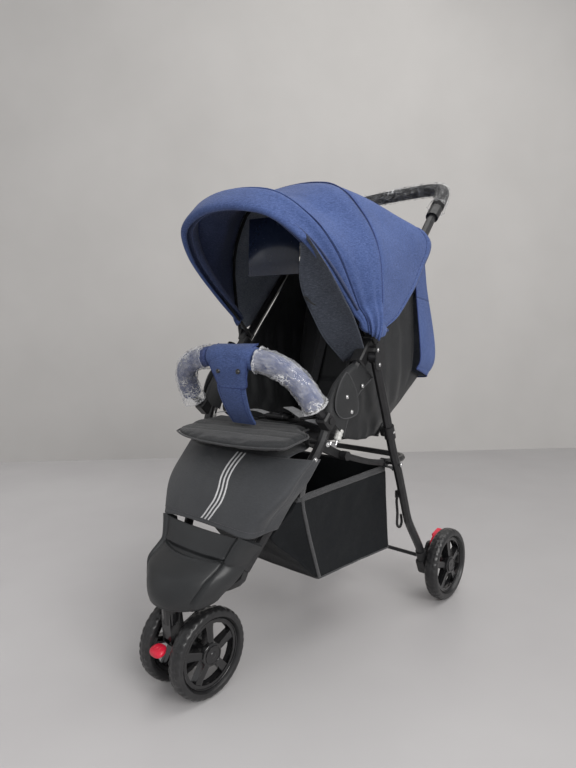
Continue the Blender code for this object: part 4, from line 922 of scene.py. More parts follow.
def build_nose():
    n = 120
    rings = [nose_ring(0.0600, -0.0675, -0.005, 0.1755, 0.1765, n),
             nose_ring(0.0685, -0.0745, -0.004, 0.180, 0.186, n),
             nose_ring(0.0785, -0.0755, 0.004, 0.195, 0.201, n),
             nose_ring(0.0895, -0.0680, 0.020, 0.215, 0.218, n, 0.75, 0.0905, 0.66),
             nose_ring(0.0945, -0.0550, 0.033, 0.2320, 0.2305, n, 0.75, 0.0975, 0.55),
             nose_ring(0.0975, -0.0210, 0.043, 0.2490, 0.2440, n, 0.68, 0.1005, 0.48),
             nose_ring(0.1010, -0.0035, 0.048, 0.2590, 0.2515, n, 0.35),
             nose_ring(0.1100, 0.0095, 0.054, 0.2830, 0.2670, n, 0.30),
             nose_ring(0.1200, 0.0185, 0.060, 0.3000, 0.2780, n, 0.28)]
    per = 12
    g = dense(rings, (len(rings) - 1) * per + 1, n + 1)
    away = tuple(A(0, 0.06, 0.25))
    nr = normals(g, away)
    R, C = g.shape[:2]
    v = np.arange(R) / per
    a = np.abs(np.linspace(-90, 90, C))
    # a raised border down both sides, and a lip over the dome
    rail = 1 / (1 + np.exp(-(a - 58) / 0.9)) * 0.0052
    rail = rail[None, :] * np.clip((v - 0.4) / 0.8, 0, 1)[:, None]
    taper = np.clip((60 - a) / 22, 0, 1) ** 0.7
    bow_v = 0.75 * np.clip(1 - (a / 60) ** 2, 0, 1)          # the ledge is widest in the middle and closes at the rails
    lo_v = 6.0 - bow_v
    mid_v = (6.0 + lo_v) / 2
    wide = np.maximum(bow_v * 0.42, 0.02)
    ledge = -0.0055 * np.exp(-((v[:, None] - mid_v[None, :]) / wide[None, :]) ** 4) * taper[None, :]
    lip = 0.0026 * np.exp(-((v[:, None] - lo_v[None, :] + 0.10) / 0.11) ** 2) * taper[None, :]
    ridge = 0.0012 * np.exp(-((v - 6.06) / 0.09) ** 2)[:, None] * (a < 59)[None, :]
    rim = 0.0016 / (1 + np.exp((v - 0.85) / 0.05))[:, None] * np.ones_like(a)[None, :]
    d = rail + ledge + lip + ridge + rim - 0.0026 * np.exp(-((a - 54.5) / 1.8) ** 2)[None, :] * np.clip((v - 1.2) / 0.8, 0, 1)[:, None]
    outer = g + nr * (d - 0.0004)[:, :, None]
    inner = g + nr * (np.minimum(d, 0.0) - 0.0030)[:, :, None]
    o = shell2("nose_shell", outer, inner, [M["nose"]], sharp=60)
    # the slot in the top edge
    bm = bmesh.new()
    bmesh.ops.create_cube(bm, size=1.0)
    bmesh.ops.scale(bm, vec=Vector((0.198, 0.060, 0.0120)), verts=bm.verts)
    bmesh.ops.translate(bm, vec=P(-0.0005, 0.012, 0.3000), verts=bm.verts)
    me = bpy.data.meshes.new("slot")
    bm.to_mesh(me)
    bm.free()
    cutter = link(bpy.data.objects.new("slot", me))
    mod = o.modifiers.new("cut", "BOOLEAN")
    mod.operation, mod.solver, mod.object = "DIFFERENCE", "EXACT", cutter
    whole = o.data.copy()
    apply_modifiers(o)
    if len(o.data.vertices) < 0.5 * len(whole.vertices):
        o.data = whole
    bpy.data.objects.remove(cutter, do_unlink=True)
    o.data.materials.clear()
    o.data.materials.append(M["nose"])
    o.data.shade_smooth()
    o.data.set_sharp_from_angle(angle=math.radians(48))
    put(o, "frame", ["nose_cover"])
    # screws that hold the cover to the yoke
    screws = [dome("s", P(s * 0.1035, 0.0330, 0.2560), (s, -0.55, 0.1), 0.0036, 0.0014, M["plastic"]) for s in (1, -1)]
    put(join("nose_screws", screws), "frame")


# ================================================================== apron and its stripes
def apron_rows():
    rows = []
    pts = side_tube_points(1, 2)
    for t in (0.0, 0.12, 0.28, 0.45, 0.62, 0.8, 1.0):
        zt = 0.298 + (0.418 - 0.298) * t
        j = max(1, next(i for i, p in enumerate(pts) if p.z >= zt))
        f = (zt - pts[j - 1].z) / (pts[j].z - pts[j - 1].z)
        c = pts[j - 1].lerp(pts[j], f)
        xt, yt = c.x, c.y - Y_SHIFT
        swell = math.sin(math.pi * t)
        yc = 0.0205 + (0.1040 - 0.0205) * t - 0.010 * swell
        zc = 0.3035 + (0.4235 - 0.3035) * t
        xk = 0.1150 + (0.1610 - 0.1150) * t + 0.010 * swell
        yk = 0.0290 + (0.1370 - 0.0290) * t - 0.009 * swell
        zk = 0.3030 + (0.4210 - 0.3030) * t - 0.007 * (t == 0)
        half = [(xt + 0.0135, yt + 0.0060, zt - 0.002), (max(xt + 0.0140, xk), yk + (yt - yk) * (0.75 - 0.25 * t), zt), (xk, yk, zk),
                (xk * 0.56, yc + 0.10 * (yk - yc), zc * 0.8 + zk * 0.2), (xk * 0.28, yc + 0.01 * (yk - yc), zc)]
        rows.append([P(-x, y, z) for x, y, z in half] + [P(0, yc, zc)] + [P(x, y, z) for x, y, z in half[::-1]])
    return rows


def build_apron():
    g = dense(apron_rows(), 49, 101)
    away = tuple(A(0, 0.30, 0.30))
    nr = normals(g, away)
    R, C = g.shape[:2]
    t = np.linspace(0, 1, R)
    u = np.linspace(-1, 1, C)
    # faint tension folds from the corners, and a soft dip between the tubes
    wob = noise_grid(g, (6.0, 10.0, 12.0), 2.2) * 0.0020 + noise_grid(g, (30.0, 20.0, 14.0), 7.7) * 0.0007
    pull = 0.0012 * np.sin(10.0 * (t[:, None] - 0.55 * np.abs(u)[None, :])) * np.clip((np.abs(u) - 0.45) / 0.3, 0, 1)[None, :]
    seam = -0.0011 * np.exp(-((np.abs(u) - 0.735) / 0.010) ** 2)[None, :]
    hem = -0.0010 * np.exp(-((t - 0.055) / 0.008) ** 2)[:, None]
    outer = g + nr * (wob + pull + seam + hem)[:, :, None]
    o = shell2("apron_fabric", outer, outer - nr * 0.0018, [M["charcoal"]])
    parts = [o]
    # stitches beside the sleeve seams and along the hem
    for s in (1, -1):
        col = int(round((s * 0.755 + 1) / 2 * (C - 1)))
        for i in range(1, R - 1):
            a, b = Vector(outer[i, col] + nr[i, col] * 0.0002), Vector(outer[i + 1, col] + nr[i + 1, col] * 0.0002)
            parts.append(sweep("st", [a.lerp(b, 0.15), a.lerp(b, 0.85)], 0.0004, M["thread"], 5))
    row = 4
    for j in range(14, C - 15):
        a, b = Vector(outer[row, j] + nr[row, j] * 0.0002), Vector(outer[row, j + 1] + nr[row, j + 1] * 0.0002)
        parts.append(sweep("st", [a.lerp(b, 0.15), a.lerp(b, 0.85)], 0.0004, M["thread"], 5))
    top = []
    for y, z, w in ((0.1010, 0.4200, 0.128), (0.1080, 0.4252, 0.129), (0.1240, 0.4285, 0.130), (0.1500, 0.4300, 0.128), (0.1750, 0.4315, 0.126), (0.1930, 0.4350, 0.122)):
        top.append([P(x, y + 0.020 * (abs(x) / 0.13) ** 2 * (1 - min(1.0, (y - 0.101) / 0.05)), z - 0.002 * (abs(x) / 0.13) ** 2) for x in np.linspace(-w, w, 9)])
    gt = dense(top, 25, 45)
    nt = normals(gt, tuple(A(0, 0.15, 0.2)))
    parts.append(shell2("top", gt, gt - nt * 0.0016, [M["charcoal"]]))
    o = join("apron_fabric", parts)
    put(o, "frame", ["apron"])

    # three printed S-shaped stripes, a thin raised layer on the cloth
    def on_surface(x, tt):
        fi = tt * (R - 1)
        i = min(R - 2, int(fi))
        row = outer[i] * (1 - (fi - i)) + outer[i + 1] * (fi - i)
        nn = nr[i] * (1 - (fi - i)) + nr[i + 1] * (fi - i)
        xs = row[:, 0]
        k = int(np.searchsorted(xs, x)) if xs[0] < xs[-1] else int(np.searchsorted(-xs, -x))
        k = max(1, min(C - 1, k))
        f = (x - xs[k - 1]) / (xs[k] - xs[k - 1])
        return row[k - 1] * (1 - f) + row[k] * f, nn[k - 1] * (1 - f) + nn[k] * f
    stripes = []
    course = crm(np.array([[0.0120], [0.0215], [0.0300], [0.0290], [0.0225], [0.0225], [0.0290]]), 61, 0)[:, 0]
    for q in range(3):
        off = (q - 1) * 0.0096
        rows_o = []
        rows_i = []
        for k in range(61):
            tt = 0.085 + (0.995 - 0.085) * k / 60
            x0 = float(course[k]) + off
            ro, ri = [], []
            for w in (-0.0020, -0.0007, 0.0007, 0.0020):
                p, nn = on_surface(x0 + w, tt)
                ro.append(p + nn * (0.00045 if abs(w) < 0.001 else 0.0003))
                ri.append(p - nn * 0.0002)
            rows_o.append(ro)
            rows_i.append(ri)
        stripes.append(shell2("stripe", np.array(rows_o), np.array(rows_i), [M["stripe"]]))
    put(join("apron_stripes", stripes), "frame")


# ================================================================== seat, backrest, leg rest, straps
def superbox_ring(cx, cy, cz, hx, hz, n=28, e=4.0, side=Vector((1, 0, 0)), up=Vector((0, 0, 1))):
    ring = []
    for k in range(n):
        a = 2 * math.pi * k / n
        c, s = math.cos(a), math.sin(a)
        x = math.copysign(abs(c) ** (2 / e), c) * hx
        z = math.copysign(abs(s) ** (2 / e), s) * hz
        ring.append(Vector((cx, cy, cz)) + side * x + up * z)
    return ring


def groove(p, line_value, width, depth):
    return -depth * math.exp(-(line_value / width) ** 2)


def build_seat():
    # seat pad
    rings = []
    for k in range(15):
        t = k / 14
        y = 0.201 + (0.399 - 0.201) * t
        zt = 0.4625 - 0.012 * t
        zb = 0.4345 - 0.016 * t
        w = 0.116 - 0.004 * math.exp(-((t) / 0.08) ** 2) - 0.004 * math.exp(-((1 - t) / 0.08) ** 2)
        rings.append(superbox_ring(0, y + Y_SHIFT, (zt + zb) / 2, w, (zt - zb) / 2, 36, 5.0))
    pad = loft_solid("seat_pad", rings, M["black"])
    puff(pad, 0.005, 4.0, 0.005)

    def seat_fn(p, n):
        y = p[1] - Y_SHIFT
        d = 0.0
        if n[2] > 0.3:
            d += groove(p, abs(p[0]) - 0.047, 0.004, 0.0030)
            d += groove(p, y - 0.262, 0.004, 0.0022) + groove(p, y - 0.335, 0.004, 0.0022)
            d += 0.0012 * n3(p, (30, 30, 30), 2.0)
        return d
    sculpt(pad, seat_fn)
    put(pad, "frame", ["seat_pan"])

    # backrest pad
    hinge, top = (0.4180, 0.4700), (0.5180, 0.8350)
    a, b = P(0, *hinge), P(0, *top)
    d = (b - a).normalized()
    nrm = Vector((0, d.z, -d.y))
    prof = [(0.0, 0.108), (0.04, 0.116), (0.25, 0.119), (0.34, 0.127), (0.6, 0.133), (0.9, 0.133), (0.98, 0.126), (1.0, 0.114)]
    rings = []
    for k in range(31):
        t = k / 30
        w = np.interp(t, [q[0] for q in prof], [q[1] for q in prof])
        c = a.lerp(b, 0.008 + t * 0.984)
        rings.append(superbox_ring(c.x, c.y, c.z, float(w), 0.0062, 36, 5.0, Vector((1, 0, 0)), nrm))
    back = loft_solid("backrest_pad", rings, M["black"])
    puff(back, 0.005, 4.0, 0.0045)

    def back_fn(p, n):
        q = Vector(p) - a
        h = q.dot(d)
        e = 0.0
        if Vector(n).dot(nrm) < -0.2:
            e += groove(p, h - 0.070, 0.004, 0.0028) + groove(p, h - 0.250, 0.004, 0.0028)
            e += groove(p, abs(p[0]) - 0.062, 0.004, 0.0026)
            e += 0.0016 * n3(p, (16, 16, 9), 4.0)
        return e
    sculpt(back, back_fn)
    put(back, "backrest", ["backrest"])

    # leg rest: a thin padded board with a bound edge, sloping down towards the front
    outline = [(-0.1215, 0.188), (-0.1220, 0.171), (-0.141, 0.156), (-0.143, 0.135), (-0.142, 0.090), (-0.130, 0.079), (-0.092, 0.066), (-0.045, 0.059), (0.0, 0.057)]
    outline = outline + [(-x, y) for x, y in outline[:-1][::-1]]
    path = [outline[i] for i in range(len(outline))]
    line = crm(np.array(path), 90, 0)
    line[:, 0] += 0.012 * np.clip(line[:, 0] / 0.14, 0, 1) ** 3 * np.clip((0.165 - line[:, 1]) / 0.02, 0, 1)
    cx, cy = 0.0, 0.128
    rings = []
    for lift, shrink in ((0.0005, 0.05), (0.0003, 0.018), (0.0022, 0.0), (0.0062, -0.002), (0.0100, 0.0), (0.0120, 0.018), (0.0121, 0.05)):
        ring = []
        for x, y in line:
            xx = cx + (x - cx) * (1 - shrink)
            yy = cy + (y - cy) * (1 - shrink * 1.6)
            z = 0.4380 + 0.162 * (y - 0.060) + lift
            ring.append(P(xx, yy, z))
        rings.append(ring)
    leg = loft_solid("leg_rest_pad", rings, M["legrest"])
    puff(leg, 0.0045, 3.0, 0.0032)

    def leg_fn(p, n):
        y = p[1] - Y_SHIFT
        e = 0.0
        if n[2] > 0.3:
            for line_y in (0.100, 0.128, 0.156):
                e += groove(p, y - line_y - 0.10 * p[0], 0.0035, 0.0008)
            e += 0.0014 * n3(p, (14, 40, 10), 6.0)
        return e
    sculpt(leg, leg_fn)
    piping = sweep("pipe", [P(x * 1.004, 0.128 + (y - 0.128) * 1.006, 0.4380 + 0.162 * (y - 0.060) + 0.0062) for x, y in line], 0.0019, M["binding"], 8)
    leg = join("leg_rest_pad", [leg, piping])
    put(leg, "leg_rest", ["leg_rest"])

    # waist straps with a slide adjuster each, and the buckle
    for s, side in ((1, "right"), (-1, "left")):
        pts = [(0.1460, 0.2070, 0.4730), (0.1280, 0.2090, 0.4760), (0.1080, 0.2130, 0.4775), (0.0850, 0.2215, 0.4800), (0.0620, 0.2310, 0.4825), (0.0430, 0.2370, 0.4790), (0.0270, 0.2392, 0.4740)]
        if s > 0:
            pts = pts[:4] + [(0.0600, 0.2330, 0.4850), (0.0350, 0.2450, 0.4890), (0.0100, 0.2570, 0.4910)]
        path = smooth_path([P(s * x, y, z) for x, y, z in pts], 6)
        strap = flat_strap("strap", path, 0.0115, 0.0009, M["webbing"])
        slide = bevel_box("slide", P(s * 0.0960, 0.2170, 0.4800), (0.0150, 0.0290, 0.0052), 0.0016, M["plastic"], Matrix.Rotation(-s * 0.30, 3, "Z"))
        o = join("waist_strap_" + side + "_webbing", [strap, slide])
        put(o, "frame", ["waist_strap_" + side])
    body = bevel_box("b", P(0, 0.2385, 0.4740), (0.0500, 0.0330, 0.0115), 0.0040, M["plastic"])
    key = bevel_box("k", P(0, 0.2385, 0.4800), (0.0200, 0.0200, 0.0030), 0.0014, M["gloss"])
    tongues = [bevel_box("t", P(s * 0.0275, 0.2385, 0.4735), (0.0130, 0.0250, 0.0060), 0.0018, M["plastic"]) for s in (1, -1)]
    put(join("buckle_shell", [body, key] + tongues), "frame", ["harness_buckle"])
    # shoulder straps over the back pad
    for s, side in ((1, "right"), (-1, "left")):
        pts = []
        for h, x in ((0.285, 0.040), (0.27, 0.040), (0.20, 0.042), (0.12, 0.046), (0.055, 0.052)):
            c = a + d * h - nrm * (0.0125 + (0.004 if h < 0.2 else 0))
            pts.append(Vector((s * x, c.y, c.z)))
        strap = flat_strap("shoulder_strap_" + side, smooth_path(pts, 6), 0.0115, 0.0009, M["binding"], across=Vector((1, 0, 0)))
        put(strap, "backrest")


def flat_strap(name, path, half, thick, mat, across=None):
    """Webbing: a flat band with slightly rounded edges along a path."""
    fr = transport(path)
    rows_o, rows_i = [], []
    for p, u, v, t in fr:
        if across is not None:
            sd = (across - t * across.dot(t)).normalized()
        else:
            sd = Vector((0, 0, 1)).cross(t).normalized()
        up = t.cross(sd).normalized()
        if up.z < 0:
            up = -up
        rows_o.append([p + sd * half * w + up * thick * (1 - 0.5 * abs(w) ** 6) for w in (-1, -0.8, -0.3, 0.3, 0.8, 1)])
        rows_i.append([p + sd * half * w - up * thick * (1 - 0.5 * abs(w) ** 6) for w in (-1, -0.8, -0.3, 0.3, 0.8, 1)])
    o = shell2(name, np.array([[tuple(q) for q in r] for r in rows_o]), np.array([[tuple(q) for q in r] for r in rows_i]), [mat])
    return o


def build_sides():
    """Black side cloth from the side tube back to the rear flap, and the cover that snaps over the tube outside."""
    for s, side in ((1, "right"), (-1, "left")):
        ctrl = [[(0.1330, 0.232, 0.4560), (0.1440, 0.300, 0.4330), (0.1440, 0.370, 0.4300), (0.1310, 0.432, 0.4480)],
                [(0.1455, 0.216, 0.4760), (0.1500, 0.300, 0.4560), (0.1500, 0.385, 0.4560), (0.1370, 0.462, 0.4720)],
                [(0.1500, 0.222, 0.5000), (0.1540, 0.310, 0.4950), (0.1530, 0.415, 0.5000), (0.1400, 0.504, 0.5080)],
                [(0.1515, 0.243, 0.5400), (0.1550, 0.335, 0.5450), (0.1540, 0.440, 0.5500), (0.1440, 0.534, 0.5550)],
                [(0.1520, 0.270, 0.5780), (0.1555, 0.365, 0.5900), (0.1550, 0.460, 0.6000), (0.1470, 0.540, 0.6100)],
                [(0.1520, 0.312, 0.6250), (0.1560, 0.395, 0.6400), (0.1560, 0.470, 0.6550), (0.1490, 0.534, 0.6700)],
                [(0.1525, 0.362, 0.6850), (0.1560, 0.425, 0.7000), (0.1560, 0.480, 0.7150), (0.1500, 0.526, 0.7300)],
                [(0.1525, 0.415, 0.7500), (0.1550, 0.455, 0.7650), (0.1550, 0.490, 0.7800), (0.1500, 0.520, 0.7900)],
                [(0.1525, 0.466, 0.8200), (0.1540, 0.485, 0.8280), (0.1540, 0.500, 0.8350), (0.1500, 0.514, 0.8400)]]
        rows = [[P(s * x, y, z) for x, y, z in row] for row in ctrl]
        g = dense(rows, 65, 45)
        away = tuple(A(0, 0.40, 0.62))
        nr = normals(g, away)
        fold = noise_grid(g, (4.0, 20.0, 7.0), 6.0 + s) * 0.0050 - np.abs(noise_grid(g, (8.0, 30.0, 16.0), 9.0 + s)) * 0.0050
        # upright drapes in the lower part, as on the real cloth
        zz = g[:, :, 2]
        drape = 0.0024 * np.sin((g[:, :, 1] * 120.0) + 5.0 * zz) * np.clip((zz - 0.46) / 0.05, 0, 1) * np.clip((0.74 - zz) / 0.1, 0, 1)
        u = np.linspace(0, 1, g.shape[1])
        ease = np.sin(np.pi * np.clip(u, 0.02, 0.98))[None, :] ** 0.5
        outer = g + nr * ((fold + drape) * ease)[:, :, None]
        o = shell2("side_cloth_" + side, outer, outer - nr * 0.0018, [M["black"]])
        hem = sweep("h", [Vector(p) for p in outer[0]], 0.0016, M["black"], 6)
        hem2 = sweep("h", [Vector(p) for p in outer[:, 0]], 0.0016, M["black"], 6)
        o = join("side_cloth_" + side, [o, hem, hem2])
        put(o, "frame", ["side_wing_" + side])

        # the cover over the side tube: inner edge, over the tube's front, down outside it
        line = [(0.182, 0.488), (0.1965, 0.520), (0.2150, 0.545), (0.2380, 0.5640), (0.2600, 0.5760), (0.2780, 0.5840)]
        rows = []
        for k, (y, z) in enumerate(line):
            t = k / (len(line) - 1)
            ty = 0.180 + (0.285 - 0.180) * t
            xo = 0.1800 + 0.0012 * t
            xt = 0.1660 + 0.004 * t
            rows.append([P(s * 0.1535, y + 0.030, z - 0.010), P(s * 0.1545, y + 0.012, z - 0.001), P(s * (xt - 0.005), y - 0.004, z + 0.007),
                         P(s * (xt + 0.008), y - 0.002, z + 0.005), P(s * xo, y + 0.008, z - 0.006), P(s * (xo + 0.0012), y + 0.022, z - 0.020 + 0.004 * t),
                         P(s * (xo + 0.0006), y + 0.036, z - 0.036 + 0.010 * t)])
        g = dense(rows, 37, 37)
        nr = normals(g, tuple(A(s * 0.166, 0.262, 0.52)))
        fold = noise_grid(g, (20.0, 30.0, 20.0), 3.0 + s) * 0.0014
        outer = g + nr * fold[:, :, None]
        cover = shell2("tube_cover_" + side, outer, outer - nr * 0.0014, [M["black"]])
        hem = sweep("h", [Vector(p) for p in outer[:, -1]], 0.0011, M["binding"], 6)
        snaps = []
        for y, z in ((0.2250, 0.5270), (0.2400, 0.4975), (0.2760, 0.5440)):
            snaps.append(dome("s", P(s * 0.1840, y, z), (s, 0, 0), 0.0042, 0.0020, M["snap"], 16))
        # the drop-shaped flap that the snaps hold
        drop = [(0.2240, 0.5730), (0.2080, 0.5580), (0.1965, 0.5380), (0.1910, 0.5200), (0.1935, 0.5040), (0.2060, 0.4915), (0.2240, 0.4870), (0.2440, 0.4880),
                (0.2590, 0.4930), (0.2640, 0.5060), (0.2620, 0.5200), (0.2560, 0.5360), (0.2450, 0.5540), (0.2350, 0.5660)]
        ringp = crm(np.array(drop + drop[:1]), 61, 0)[:-1]
        cy, cz = 0.227, 0.524
        rings = []
        for x, sh in ((0.1806, 0.04), (0.1804, 0.0), (0.1826, 0.0), (0.1838, 0.10), (0.1843, 0.40)):
            rings.append([P(s * x, cy + (y - cy) * (1 - sh), cz + (z - cz) * (1 - sh)) for y, z in ringp])
        flap = loft_solid("flap", rings, M["black"])
        pipe = sweep("p", [P(s * 0.1826, y, z) for y, z in ringp], 0.0012, M["binding"], 6, closed=True)
        for q in snaps[:2]:
            q.location.x += s * 0.0006
        bpy.context.view_layer.update()
        o = join("tube_cover_" + side, [cover, hem, flap, pipe] + snaps)
        put(o, "frame")


# ================================================================== basket
def build_basket():
    # level: (x front, y front, z front, x rear, y rear, z rear)
    levels = [(0.1360, 0.1440, 0.3460, 0.1370, 0.4380, 0.3520), (0.1270, 0.1290, 0.3200, 0.1370, 0.4410, 0.3180), (0.1100, 0.1140, 0.2900, 0.1360, 0.4445, 0.2800),
              (0.0975, 0.1080, 0.2660, 0.1355, 0.4480, 0.2450), (0.1020, 0.1360, 0.2330, 0.1345, 0.4530, 0.2080), (0.1130, 0.1760, 0.1980, 0.1340, 0.4580, 0.1760),
              (0.1220, 0.2100, 0.1690, 0.1330, 0.4610, 0.1605)]
    count = 176
    rows = []
    for k, (xf, yf, zf, xr, yr, zr) in enumerate(levels):
        f = (0.346 - zf) / 0.180
        xs, ys = 0.1372 - 0.0110 * f, 0.1460 + 0.0680 * f
        if k == 0:
            xs, ys = xf + 0.0005, yf + 0.006
        # start at the middle of the front so that every level lines up
        poly = [(0, yf, zf), (xf, yf, zf), (xs, ys, zf), (xr, yr, zr), (-xr, yr, zr), (-xs, ys, zf), (-xf, yf, zf), (0, yf, zf)]
        seg = []
        lens = [20, 14, 40, 28, 40, 14, 20]
        for (p, q, m) in zip(poly, poly[1:], lens):
            for i in range(m):
                f = i / m
                seg.append([p[c] + (q[c] - p[c]) * f for c in range(3)])
        ring = np.array(seg)
        ring = (np.roll(ring, 1, 0) + ring * 2 + np.roll(ring, -1, 0)) / 4
        rows.append(ring)
    floor_rows = []
    last = rows[-1]
    mid = last.mean(0)
    for f in (0.90, 0.70, 0.45, 0.20, 0.04):
        r = mid + (last - mid) * f
        r[:, 2] = last[:, 2] * f + mid[2] * (1 - f) - 0.0045 * (1 - f ** 2)
        floor_rows.append(r)
    g = np.array(rows)
    g = crm(g, 37, 0)
    fl = np.array([last] + floor_rows)
    fl = crm(fl, 16, 0)[1:]
    g = np.concatenate([g, fl])
    g[:, :, 1] += Y_SHIFT
    wrap = np.concatenate([g, g[:, :1]], 1)
    nr = normals(wrap, tuple(A(0, 0.29, 0.25)))
    nr[:, 0] = nr[:, -1] = (nr[:, 0] + nr[:, -1]) / 2
    R = g.shape[0]
    k = np.arange(R)
    v = np.clip(k / 36.0, 0, 1)
    # sides sag in between the rim, the corners and the floor, with slack folds
    u = np.arange(count + 1) / count
    corner = np.minimum.reduce([np.abs((u - c / 176 + 0.5) % 1 - 0.5) for c in (34, 74, 102, 142)])
    corner = np.clip(corner / 0.05, 0, 1)
    sag = -0.0055 * np.sin(np.pi * np.clip(v, 0, 1))[:, None] * corner[None, :]
    folds = noise_grid(wrap, (6, 9, 12), 1.1) * 0.0085 + np.abs(noise_grid(wrap, (11, 17, 19), 4.4)) * -0.0050 + noise_grid(wrap, (30, 40, 44), 9.4) * 0.0012
    folds *= (np.sin(np.pi * np.clip(v * 0.96 + 0.02, 0, 1))[:, None] * 0.9 + 0.15) * (0.25 + 0.75 * corner[None, :])
    folds[k > 36] *= 0.3
    outer = wrap + nr * (sag + folds)[:, :, None]
    outer[:, -1] = outer[:, 0]
    inner = outer - nr * 0.0022
    inner[:, -1] = inner[:, 0]
    verts = np.concatenate([outer[:, :-1].reshape(-1, 3), inner[:, :-1].reshape(-1, 3)])
    off = R * count
    faces = []
    for i in range(R - 1):
        for j in range(count):
            j2 = (j + 1) % count
            faces.append((i * count + j, i * count + j2, (i + 1) * count + j2, (i + 1) * count + j))
            faces.append((off + (i + 1) * count + j, off + (i + 1) * count + j2, off + i * count + j2, off + i * count + j))
    for j in range(count):
        j2 = (j + 1) % count
        faces.append((j2, j, off + j, off + j2))
    faces.append(tuple((R - 1) * count + j for j in range(count)))
    faces.append(tuple(off + (R - 1) * count + j for j in range(count))[::-1])
    bag = mesh_object("basket_fabric", verts, faces, [M["basket"]])
    parts = [bag]
    # bound rim and bound corner seams
    def tape(path_pts, nrm_pts, half, name):
        rows_o, rows_i = [], []
        for i, (p, nn) in enumerate(zip(path_pts, nrm_pts)):
            t = path_pts[min(len(path_pts) - 1, i + 1)] - path_pts[max(0, i - 1)]
            t = t / np.linalg.norm(t)
            sd = np.cross(t, nn)
            sd /= np.linalg.norm(sd)
            rows_o.append([p + sd * half * w + nn * (0.0016 - 0.0006 * abs(w)) for w in (-1, -0.5, 0, 0.5, 1)])
            rows_i.append([p + sd * half * w - nn * 0.0004 for w in (-1, -0.5, 0, 0.5, 1)])
        return shell2(name, np.array(rows_o), np.array(rows_i), [M["binding"]])
    rim = [outer[1, j] for j in range(count + 1)]
    rn = [nr[1, j] for j in range(count + 1)]
    parts.append(tape(rim, rn, 0.0046, "rim"))
    rim_pipe = sweep("rimp", [Vector((outer[0, j] + inner[0, j]) / 2) + Vector((0, 0, 0.0006)) for j in range(count)], 0.0026, M["binding"], 8, closed=True)
    parts.append(rim_pipe)
    for j in (34, 142):
        parts.append(tape([outer[i, j] for i in range(2, 37)], [nr[i, j] for i in range(2, 37)], 0.0034, "corner"))
    for j in (74, 102):
        parts.append(tape([outer[i, j] for i in range(2, 37)], [nr[i, j] for i in range(2, 37)], 0.0026, "corner"))
    low = sweep("low", [Vector(outer[36, j] + nr[36, j] * 0.0004) for j in range(count)], 0.0018, M["binding"], 8, closed=True)
    parts.append(low)
    bag = join("basket_fabric", parts)
    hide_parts("basket")
    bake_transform(bag)
    # webbing loops that hang the basket on the tubes and legs
    loops = []
    for s in (1, -1):
        pts = [P(s * 0.1365, 0.150, 0.346), P(s * 0.1400, 0.151, 0.362), P(s * 0.1440, 0.150, 0.380)]
        loops.append(flat_strap("l", smooth_path(pts, 4), 0.0080, 0.0008, M["binding"], across=Vector((0, 1, 0.4))))
    put(join("basket_loops_front", loops), "frame")
    loops = []
    for s in (1, -1):
        pts = [P(s * 0.1375, 0.432, 0.352), P(s * 0.1480, 0.432, 0.353), P(s * 0.1600, 0.430, 0.352), P(s * 0.1650, 0.429, 0.348)]
        loops.append(flat_strap("l", smooth_path(pts, 4), 0.0080, 0.0008, M["binding"], across=Vector((0, 1, 0))))
    put(join("basket_loops_rear", loops), "rear_legs")


